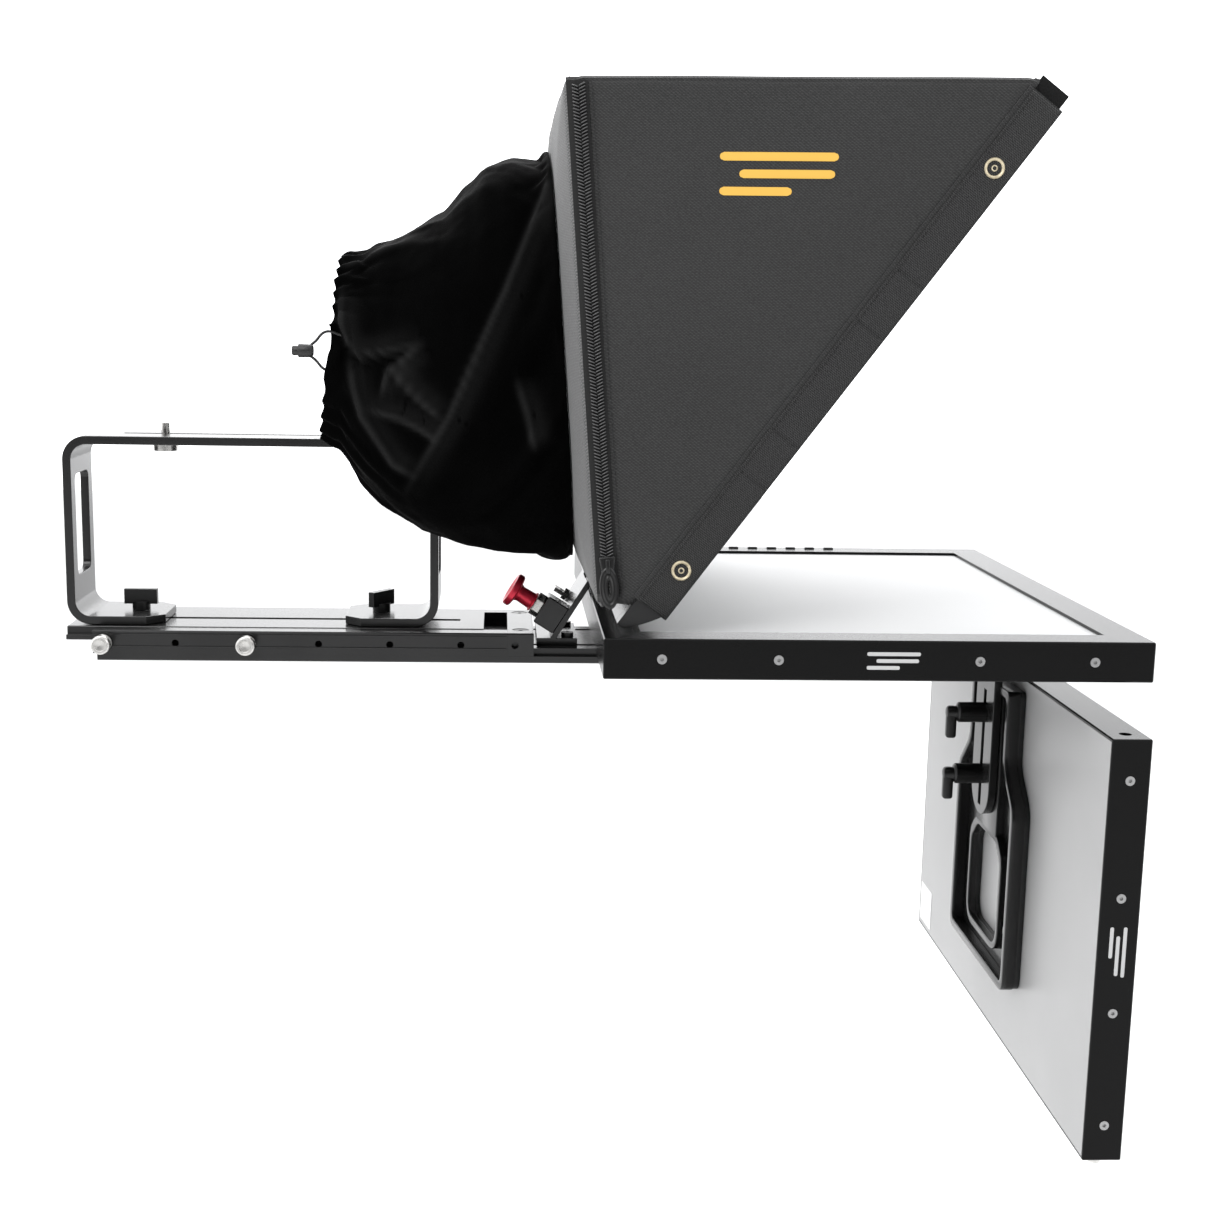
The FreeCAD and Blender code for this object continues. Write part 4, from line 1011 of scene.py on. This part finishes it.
def makeStrap(side, word):
    obj = clothGrid(420, 20)

    def placed(u, v):
        v = spacing(v)
        s = strap["start"] + u * (strap["end"] - strap["start"])
        w = v * strap["wide"]
        ends = min(u, 1 - u) * (strap["end"] - strap["start"])
        dip = sum(math.exp(-((s - tack) / strap["tackWide"]) ** 2) for tack in strap["tacks"])
        edge = math.exp(-(min(v, 1 - v) * strap["wide"] / 0.0011) ** 2) + math.exp(-(ends / 0.001) ** 2)
        wave = 0.0003 * noise.noise(Vector((s * 30, side * 2, w * 60)))
        off = strap["lift"] + strap["crown"] - edge * 0.0006 - dip * strap["tackDeep"] + wave
        return slopeSpot(side, s, w + 0.0002 * math.sin(s * 70), off)

    shapeGrid(obj, placed)
    faceToward(obj, (0, side, 0))
    thicken(obj, strap["thick"])
    settle(obj, "hoodStrap" + word)
    smooth(obj, 60)
    uvAlong(obj, slopeFoot, upSlope, offSlope)
    finishPiece(obj, mats["webbing"], "glass_frame", "hood_cloth")


# The cloth folded under the strap, which shows as a thin border beyond it
def makeHem(side, word):
    obj = clothGrid(160, 14)

    def placed(u, v):
        s = strap["start"] - 0.0008 + u * (strap["end"] - strap["start"] + 0.0016)
        w = -0.003 + v * (strap["wide"] + strap["hemPast"] + 0.003)
        away = (1 - v) * (strap["wide"] + 0.005)
        return slopeSpot(side, s, w, 0.0002 - 0.0006 * math.exp(-(away / 0.0009) ** 2))

    shapeGrid(obj, placed)
    faceToward(obj, (0, side, 0))
    thicken(obj, 0.0022)
    settle(obj, "hoodHem" + word)
    smooth(obj, 60)
    finishPiece(obj, mats["hood_cloth"], "glass_frame", "hood_cloth")


zipLook = dict(tapeIn=-0.0002, tapeOut=0.0134, tapeThick=0.0009, lift=0.0017, centre=0.0074, pitch=0.00205,
               tooth=0.0050, thick=0.00095, lean=math.radians(24), stitch=0.0158, row=0.0021)
zipLow, zipHigh = hood["footZ"] + 0.012, hood["topZ"] - 0.003


def zipSpot(side, z, inset, off):
    return sideSpot(side, rearX(z) + inset, z, off)


def makeZip(side, word):
    tape = clothGrid(10, 90)

    def placed(u, v):
        z = zipLow - 0.004 + v * (zipHigh - zipLow + 0.004)
        inset = zipLook["tapeIn"] + u * (zipLook["tapeOut"] - zipLook["tapeIn"])
        return zipSpot(side, z, inset, 0.0004 - 0.0006 * (2 * u - 1) ** 4)

    shapeGrid(tape, placed)
    faceToward(tape, (0, side, 0))
    thicken(tape, zipLook["tapeThick"])
    smooth(tape, 60)
    deselect()
    bpy.ops.mesh.primitive_uv_sphere_add(segments=8, ring_count=6, radius=1)
    tooth = bpy.context.object
    tooth.scale = (zipLook["tooth"] / 2, zipLook["thick"] / 2, 0.0011)
    settle(tooth, "tooth")
    for vert in tooth.data.vertices:
        blunt = abs(vert.co.x / (zipLook["tooth"] / 2)) ** 0.6
        vert.co.x = math.copysign(blunt, vert.co.x) * zipLook["tooth"] / 2
    places = []
    count = int((zipHigh - zipLow) / zipLook["pitch"])
    for number in range(count):
        z = zipLow + number * zipLook["pitch"]
        for hand in (-1, 1):
            here = z + (zipLook["pitch"] / 2 if hand > 0 else 0)
            spot = zipSpot(side, here, zipLook["centre"] + hand * zipLook["row"], zipLook["lift"])
            up = zipSpot(side, here + 0.001, zipLook["centre"], 0) - zipSpot(side, here, zipLook["centre"], 0)
            place = lieAlong(spot, up, Vector((0, side, 0)))
            places.append(place @ Matrix.Rotation(hand * side * -zipLook["lean"], 4, "Z"))
    teeth = scatter(tooth, places, "teeth")
    smooth(teeth, 180)
    settle(tape, "zipTape" + word)
    finishPiece(tape, mats["zip"], "glass_frame", "zip")
    settle(teeth, "zipCoil" + word)
    nodes = ["hood_zippers"] if side < 0 else []
    finishPiece(teeth, mats["zip_teeth"], "glass_frame", "zip", *nodes)
    spots = [zipSpot(side, z, zipLook["stitch"], 0.0009) for z in
             [zipLow + step * (zipHigh - zipLow) / 30 for step in range(31)]]
    seam = stitchRow(spots, Vector((0, side, 0)), "zipStitches" + word)
    smooth(seam, 180)
    finishPiece(seam, mats["thread"], "glass_frame", "hood_cloth")
    spots = [slopeSpot(side, s, 0.0016, strap["lift"] + 0.0004) for s in
             (strap["start"] + 0.002, strap["end"] - 0.002)]
    seam = stitchRow(spots, Vector((0, side, 0)), "strapStitches" + word, gap=0.0030, long=0.0022)
    smooth(seam, 180)
    finishPiece(seam, mats["thread"], "glass_frame", "hood_cloth")


def ovalLoop(halfWide, halfLong, count=40):
    return [(halfWide * math.cos(math.tau * step / count), halfLong * math.sin(math.tau * step / count))
            for step in range(count)]


# A flat oval piece from nested ovals of (half width, half length, height)
def ovalTab(rings):
    deselect()
    bpy.ops.mesh.primitive_plane_add(size=1)
    obj = bpy.context.object
    bm = bmesh.new()
    rows = [[bm.verts.new((x, y, height)) for x, y in ovalLoop(wide, long)] for wide, long, height in rings]
    for first, second in zip(rows, rows[1:] + rows[:1]):
        bandBetween(bm, first, second)
    bmesh.ops.recalc_face_normals(bm, faces=bm.faces)
    bm.to_mesh(obj.data)
    bm.free()
    return obj


# Slider body, its bridge, and the hanging tab with a raised inner oval
def makeZipPull(side, word):
    node = "zipper_pull_" + word.lower()
    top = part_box(node)[1].z
    body = boxPiece((-0.0052, -0.0062, 0), (0.0052, 0.0062, 0.0030))
    for vert in body.data.vertices:
        if vert.co.y < 0:
            vert.co.x *= 0.72
    bevelEdges(body, 0.0011, 3)
    bridge = boxPiece((-0.0013, -0.0045, 0.0029), (0.0013, 0.0045, 0.0046))
    bevelEdges(bridge, 0.0006, 2)
    tab = ovalTab([(0.0056, 0.0125, 0.0), (0.0062, 0.0135, 0.0007), (0.0056, 0.0125, 0.0015),
                   (0.0044, 0.0110, 0.0015), (0.0038, 0.0102, 0.0009), (0.0026, 0.0080, 0.0009),
                   (0.0020, 0.0068, 0.0016), (0.0010, 0.0050, 0.0016), (0.0004, 0.0038, 0.0004)])
    settle(tab, "tab", Matrix.Translation((0, -0.0135, 0.0027)) @ Matrix.Rotation(math.radians(-3), 4, "X"))
    whole = joinPieces([body, bridge, tab], "pull")
    z = top - 0.008
    spot = zipSpot(side, z, zipLook["centre"], 0.0016)
    up = zipSpot(side, z + 0.01, zipLook["centre"], 0) - zipSpot(side, z, zipLook["centre"], 0)
    settle(whole, "zipPull" + word, lieAlong(spot, up, Vector((0, side, 0))))
    smooth(whole, 50)
    finishPiece(whole, mats["pull_metal"], node, "pull_metal", node)


studs = dict(places=[0.058, 0.368], off=0.0105, face=0.1945,
             profile=[(0, 0.0012), (0.0010, 0.0012), (0.0012, 0.0021), (0.0019, 0.0023), (0.0022, 0.0016),
                      (0.0042, 0.0015), (0.0049, 0.0029), (0.0057, 0.0032), (0.0063, 0.0026),
                      (0.0064, 0.0012), (0.0064, 0), (0, 0)])


def makeStuds():
    pieces = []
    for side in (-1, 1):
        for place in studs["places"]:
            stud = lathe(studs["profile"], 40)
            spot = slopeFoot + upSlope * place + offSlope * studs["off"]
            spot.y = side * studs["face"]
            settle(stud, "stud", Matrix.Translation(spot) @ axisTurn((0, side, 0)))
            pieces.append(stud)
    whole = joinPieces(pieces, "hoodStuds")
    smooth(whole, 50)
    finishPiece(whole, mats["stud_metal"], "glass_frame", "stud_metal", "hood_studs")


for side, word in ((-1, "Near"), (1, "Far")):
    makeStrap(side, word)
    makeHem(side, word)
    makeZip(side, word)
    makeZipPull(side, word)
makeStuds()


print("hood trim")


# Copies a machined node, cleans its faces and eases its edges
def softCopy(node, width, name):
    source = frame["nodes"][node]
    deselect()
    obj = bpy.data.objects.new(name, source.data.copy())
    bpy.context.collection.objects.link(obj)
    tidyMesh(obj, 1e-6)
    pick(obj)
    bpy.ops.object.mode_set(mode="EDIT")
    bpy.ops.mesh.select_all(action="SELECT")
    bpy.ops.mesh.dissolve_limited(angle_limit=math.radians(1.5))
    bpy.ops.object.mode_set(mode="OBJECT")
    bevelEdges(obj, width, 2, 28)
    settle(obj, name)
    smooth(obj, 35)
    level = obj.modifiers.new("level", "WEIGHTED_NORMAL")
    level.keep_sharp = True
    applyMods(obj)
    return finishPiece(obj, mats[slotOf[node]], nodeBody(node), slotOf[node], node)


# Rounds the outline corners whose edges run along one direction
def roundCorners(obj, direction, width, segments):
    bm = bmesh.new()
    bm.from_mesh(obj.data)
    way = Vector(direction)
    picked = []
    for edge in bm.edges:
        run = edge.verts[1].co - edge.verts[0].co
        if run.length > 1e-6 and abs(run.normalized().dot(way)) > 0.999:
            if len(edge.link_faces) == 2 and edge.calc_face_angle(0) > math.radians(30):
                picked.append(edge)
    bmesh.ops.bevel(bm, geom=picked, offset=width, offset_type="OFFSET", segments=segments, profile=0.5,
                    affect="EDGES", clamp_overlap=True)
    bm.to_mesh(obj.data)
    bm.free()
    return obj


def spanOf(node, direction):
    way = Vector(direction).normalized()
    side = way.orthogonal().normalized()
    other = way.cross(side)
    spots = [vert.co for vert in frame["nodes"][node].data.vertices]
    reach = [spot.dot(way) for spot in spots]
    middle = [(min(v) + max(v)) / 2 for v in ([spot.dot(axis) for spot in spots] for axis in (side, other))]
    return side * middle[0] + other * middle[1] + way * min(reach), max(reach) - min(reach)


# A small knurled thumb screw with a turned, slightly dished face
def makeRailKnob(word):
    node = "rail_knob_" + word.lower()
    start, long = spanOf(node, (0, -1, 0))
    stem, radius, grip = 0.0025, 0.0064, 0.0115
    low = long - grip
    knob = lathe([(0, 0), (stem, 0), (stem, low), (radius - 0.0008, low), (radius, low + 0.0008),
                  (radius, low + 0.0024), (radius - 0.0006, low + 0.0029), (radius - 0.0006, low + 0.0036),
                  (radius, low + 0.0041), (radius, long - 0.0009), (radius - 0.0009, long),
                  (radius - 0.0022, long), (radius - 0.0026, long - 0.0004), (0.0012, long - 0.0006),
                  (0, long - 0.0007)], 56)
    knurl(knob, low + 0.0041, long - 0.001, 0.00022)
    settle(knob, "railKnob" + word, Matrix.Translation(start) @ axisTurn((0, -1, 0)))
    smooth(knob, 30)
    finishPiece(knob, mats["turned_steel"], nodeBody(node), "turned_steel", node)


def makePlungerKnob():
    pull = Vector((-math.sin(math.radians(58)), 0, math.cos(math.radians(58))))
    start, long = spanOf("plunger_knob", pull)
    radius, sleeve, thick = 0.0125, 0.0062, 0.0052
    disc = long - thick
    knob = lathe([(0, 0), (sleeve + 0.0012, 0), (sleeve + 0.0014, 0.0008), (sleeve, 0.0018),
                  (sleeve - 0.0004, disc - 0.003), (sleeve + 0.0006, disc - 0.0008), (radius - 0.0012, disc),
                  (radius, disc + 0.0010), (radius, long - 0.0012), (radius - 0.0010, long),
                  (radius - 0.0026, long), (radius - 0.0042, long - 0.0009), (0.0034, long - 0.0013),
                  (0.0022, long - 0.0020), (0, long - 0.0022)], 64)
    settle(knob, "plungerKnob", Matrix.Translation(start) @ axisTurn(pull))
    smooth(knob, 32)
    finishPiece(knob, mats["red_anodised"], nodeBody("plunger_knob"), "red_anodised", "plunger_knob")


# A ribbed grip on a stud, with the small locking lever that hangs from its end
def makeTalentKnob(word):
    node = "talent_knob_" + word.lower()
    low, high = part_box(node)
    away = Vector((-1, 0, 0))
    axisZ = high.z - 0.0072
    stemStart, long = high.x, high.x - low.x
    grip0, grip1 = long - 0.030, long - 0.008
    knob = lathe([(0, 0), (0.003, 0), (0.003, grip0 - 0.001), (0.0050, grip0 - 0.001), (0.0066, grip0),
                  (0.0072, grip0 + 0.0008), (0.0072, grip1 - 0.0008), (0.0066, grip1),
                  (0.0048, grip1 + 0.0006), (0.0040, long - 0.0004), (0.0034, long), (0, long)], 48)
    knurl(knob, grip0 + 0.0008, grip1 - 0.0008, 0.0005)
    settle(knob, "grip", Matrix.Translation((stemStart, 0, axisZ)) @ axisTurn(away))
    lever = boxPiece((low.x, -0.0035, low.z), (low.x + 0.0078, 0.0035, axisZ + 0.0048))
    bevelEdges(lever, 0.0022, 4, 40)
    whole = joinPieces([knob, lever], "talentKnob" + word)
    smooth(whole, 35)
    finishPiece(whole, mats["black_steel"], nodeBody(node), "black_steel", node)


# A blank pale sticker near the talent monitor's far lower corner
def makeBackLabel():
    low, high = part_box("talent_back_cover")
    label = boxPiece((low.x - 0.0003, high.y - 0.039, low.z + 0.004),
                     (low.x + 0.0001, high.y - 0.003, low.z + 0.038))
    bevelEdges(label, 0.0001, 1)
    roundCorners(label, (1, 0, 0), 0.002, 4)
    settle(label, "backLabel")
    smooth(label, 30)
    finishPiece(label, mats["label"], "talent_monitor", "black_plastic")


# An outline from corners of (y, z, radius), each rounded by a smooth bend
def roundedLoop(corners, steps=8):
    loop = []
    for number, (y, z, radius) in enumerate(corners):
        here = Vector((y, z))
        before = (Vector(corners[number - 1][:2]) - here).normalized()
        after = (Vector(corners[(number + 1) % len(corners)][:2]) - here).normalized()
        turn = before.angle(after)
        reach = radius / math.tan(turn / 2)
        start, end = here + before * reach, here + after * reach
        for step in range(steps + 1):
            share = step / steps
            bend = here * (2 * share * (1 - share))
            loop.append(start * (1 - share) ** 2 + bend + end * share ** 2)
    return loop


# A flat plate in the YZ plane between two X places; loops after the first are holes
def flatPiece(loops, low, high, bevel, name):
    curve = bpy.data.curves.new(name, "CURVE")
    curve.dimensions = "2D"
    curve.fill_mode = "BOTH"
    for loop in loops:
        spline = curve.splines.new("POLY")
        spline.points.add(len(loop) - 1)
        for point, spot in zip(spline.points, loop):
            point.co = (spot.x, spot.y, 0, 1)
        spline.use_cyclic_u = True
    curve.extrude = (high - low) / 2 - bevel
    curve.bevel_depth = bevel
    curve.bevel_resolution = 2
    curve.offset = -bevel
    obj = bpy.data.objects.new(name, curve)
    bpy.context.collection.objects.link(obj)
    pick(obj)
    bpy.ops.object.convert(target="MESH")
    obj = bpy.context.object
    stand = Matrix(((0, 0, 1, (low + high) / 2), (1, 0, 0, 0), (0, 1, 0, 0), (0, 0, 0, 1)))
    settle(obj, name, stand)
    return tidyMesh(obj, 1e-6)


def circleLoop(y, z, radius, tall=1.0, steps=24):
    return [Vector((y + radius * math.cos(math.tau * step / steps),
                    z + radius * tall * math.sin(math.tau * step / steps))) for step in range(steps)]


# The milled mount plate: a floor with raised outer and window rims, slots and screw holes
def makeTalentPlate():
    low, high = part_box("talent_mount_plate")
    plate = dict(neck=0.048, wide=high.y, rim=0.0062, floor=0.0042, curve=0.022, corner=0.011, window=0.038,
                 windowRim=0.0052, windowLow=0.0225, windowTop=0.1010, shoulder=0.165, shoulderDrop=0.026,
                 screw=0.0023, slotY=0.062, slotZ=0.128, chamfer=0.014, gateHalf=0.0245, gateDeep=0.0075,
                 padHalf=0.026, padLow=-0.137, padFace=0.0103, ringFace=0.0098, lap=0.0004)

    def outline(inset):
        neck, wide = plate["neck"] - inset, plate["wide"] - inset
        bottom, top = low.z + inset, high.z - inset
        shoulder = low.z + plate["shoulder"]
        fall = shoulder - plate["shoulderDrop"]
        curve = plate["curve"]
        half = [(neck, top, 0.004), (neck, shoulder, curve), (wide, fall, curve - inset * 0.6),
                (wide, bottom, plate["corner"] - inset * 0.6)]
        return roundedLoop([(-y, z, r) for y, z, r in half] + [(y, z, r) for y, z, r in reversed(half)])

    def windowLoop(grow):
        half, cut = plate["window"] + grow, plate["chamfer"]
        bottom, top = low.z + plate["windowLow"] - grow, low.z + plate["windowTop"] + grow
        return roundedLoop([(-half, bottom, 0.015 + grow), (half, bottom, 0.015 + grow),
                            (half, top - cut, 0.012 + grow), (half - cut, top, 0.012 + grow),
                            (-half + cut, top, 0.012 + grow), (-half, top - cut, 0.012 + grow)])

    screws = [circleLoop(side * 0.05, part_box("talent_frame")[0].z + 0.143 + up * 0.05, plate["screw"])
              for side in (-1, 1) for up in (-1, 1)]
    slots = [circleLoop(side * plate["slotY"], low.z + plate["slotZ"], 0.0042, 2.4) for side in (-1, 1)]
    knobs = [circleLoop(0, place, 0.0032) for place in (-0.0458, -0.0938)]
    floorX = high.x - plate["floor"]
    floor = flatPiece([outline(0.0005), windowLoop(0.0)] + screws + slots + knobs, floorX, high.x,
                      0.0003, "plateFloor")
    rim = flatPiece([outline(0.0), outline(plate["rim"])], low.x, floorX + plate["lap"], 0.0008, "plateRim")
    # The hanger arm passes through an opening in the rim
    gate = boxPiece((low.x - 0.002, -plate["gateHalf"], high.z - plate["gateDeep"]),
                    (high.x - plate["padFace"], plate["gateHalf"], high.z + 0.002))
    cut = rim.modifiers.new("gate", "BOOLEAN")
    cut.operation = "DIFFERENCE"
    cut.solver = "EXACT"
    cut.object = gate
    applyMods(rim)
    bpy.data.objects.remove(gate, do_unlink=True)
    ring = flatPiece([windowLoop(plate["windowRim"]), windowLoop(0.0)], high.x - plate["ringFace"],
                     floorX + plate["lap"], 0.0007, "plateRing")
    pad = boxPiece((high.x - plate["padFace"], -plate["padHalf"], plate["padLow"]),
                   (floorX + plate["lap"], plate["padHalf"], high.z - 0.0055))
    bevelEdges(pad, 0.0006, 2)
    whole = joinPieces([floor, rim, ring, pad], "talentMountPlate")
    smooth(whole, 35)
    finishPiece(whole, mats["plate_metal"], "talent_monitor", "black_anodised", "talent_mount_plate")


# A plain printed mark: three rounded bars like lines of script
def markOnHood(side, word):
    script = dict(x=0.262, z=0.346, drop=0.0105, half=0.0026, proud=0.0016,
                  lines=[(0.0, 0.072), (0.012, 0.058), (0.0, 0.044)])
    bars = []
    for number, (start, long) in enumerate(script["lines"]):
        bar = clothGrid(40, 6)

        def placed(u, v, start=start, long=long, number=number):
            half = script["half"]
            across = (2 * v - 1) * half
            cap = half - math.sqrt(max(half * half - across * across, 0.0))
            x = script["x"] + start + cap + u * (long - 2 * cap)
            return sideSpot(side, x, script["z"] - number * script["drop"] + across, script["proud"])

        shapeGrid(bar, placed)
        bars.append(bar)
    hugPanel(joinPieces(bars, "hoodMark" + word), side, word)


# Lays a print on the hood's cloth and gives it its own thickness
def hugPanel(mark, side, word):
    wrap = mark.modifiers.new("lie", "SHRINKWRAP")
    wrap.target = bpy.data.objects["hoodSide" + word]
    wrap.wrap_method = "NEAREST_SURFACEPOINT"
    wrap.wrap_mode = "OUTSIDE_SURFACE"
    wrap.offset = 0.00015
    applyMods(mark)
    tidyMesh(mark, 1e-6)
    faceToward(mark, (0, side, 0))
    thicken(mark, 0.00012, 1.0)
    settle(mark, "hoodMark" + word)
    smooth(mark, 40)
    finishPiece(mark, mats["gold_print"], "glass_frame", "stud_metal")


# The same mark in white, on a monitor's side
def flatMark(name, spotAt, body):
    script = dict(half=0.0012, round=0.00119, drop=0.0044, thick=0.00015, bevel=0.00002,
                  lines=[(0.0, 0.034), (0.006, 0.027), (0.0, 0.021)])
    half, curve = script["half"], script["round"]
    bars = []
    for number, (start, long) in enumerate(script["lines"]):
        bar = roundedLoop([(start, -half, curve), (start + long, -half, curve),
                           (start + long, half, curve), (start, half, curve)], 5)
        lowered = [Vector((spot.x, spot.y - number * script["drop"])) for spot in bar]
        bars.append(flatPiece([lowered], 0, script["thick"], script["bevel"], "bar"))
    whole = joinPieces(bars, name)
    settle(whole, name, spotAt)
    smooth(whole, 40)
    finishPiece(whole, mats["white_print"], body, "black_paint")


def makeMarks():
    for side, word in ((-1, "Near"), (1, "Far")):
        markOnHood(side, word)
    low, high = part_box("prompter_frame")
    face = Matrix(((0, 1, 0, 0.360), (-1, 0, 0, low.y + 0.00003), (0, 0, 1, (low.z + high.z) / 2 + 0.0044),
                   (0, 0, 0, 1)))
    flatMark("deskMark", face, "rails")
    low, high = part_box("talent_frame")
    face = Matrix(((0, 0, 1, (low.x + high.x) / 2 + 0.0044), (-1, 0, 0, low.y + 0.00003), (0, -1, 0, -0.134),
                   (0, 0, 0, 1)))
    flatMark("talentMark", face, "talent_monitor")


# The long lips of the outer rail's extrusion, on both sides
def makeRailLips():
    low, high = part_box("outer_rail")
    lips = dict(shares=[0.15, 0.68], tall=0.0011, proud=0.0004, sunk=0.0003)
    pieces = []
    for side, face in ((-1, low.y), (1, high.y)):
        for share in lips["shares"]:
            z = high.z - share * (high.z - low.z)
            ends = sorted((face + side * lips["proud"], face - side * lips["sunk"]))
            lip = boxPiece((low.x + 0.0008, ends[0], z - lips["tall"] / 2),
                           (high.x - 0.0008, ends[1], z + lips["tall"] / 2))
            bevelEdges(lip, 0.0002, 2)
            pieces.append(lip)
    whole = joinPieces(pieces, "outerRailLips")
    smooth(whole, 35)
    finishPiece(whole, mats["black_anodised"], nodeBody("outer_rail"), "black_anodised")


for word in ("Rear", "Front"):
    makeRailKnob(word)
makeRailLips()
makeMarks()
makePlungerKnob()
for word in ("Upper", "Lower"):
    makeTalentKnob(word)
makeBackLabel()
makeTalentPlate()
# Painted reflection: the back cover takes the pale grey material that stands in for its grazing reflection
frame["nodes"]["talent_back_cover"].data.materials[0] = mats["back_painted_reflection"]
for node in ("prompter_side_screws", "talent_screws"):
    frame["nodes"][node].data.materials[0] = mats["screw_heads"]
for node, width in (("camera_riser", 0.0006), ("camera_plate", 0.0004), ("outer_rail", 0.0003),
                    ("base_rail", 0.0003), ("rail_end_block", 0.0005), ("tilt_bracket", 0.0006),
                    ("plunger_block", 0.0008), ("plunger_nut", 0.0005), ("hanger_arm", 0.0006),
                    ("riser_screw_rear", 0.0009), ("riser_screw_front", 0.0009), ("wing_screw", 0.0006),
                    ("prompter_frame", 0.0005), ("talent_frame", 0.0005), ("frame_side_near", 0.0004),
                    ("frame_side_far", 0.0004), ("frame_base_bar", 0.0005), ("frame_top_bar", 0.0005),
                    ("camera_screw", 0.0004), ("monitor_mount_plate", 0.0004)):
    first, *rest = node.split("_")
    softCopy(node, width, first + "".join(word.title() for word in rest))
print("machined pieces")
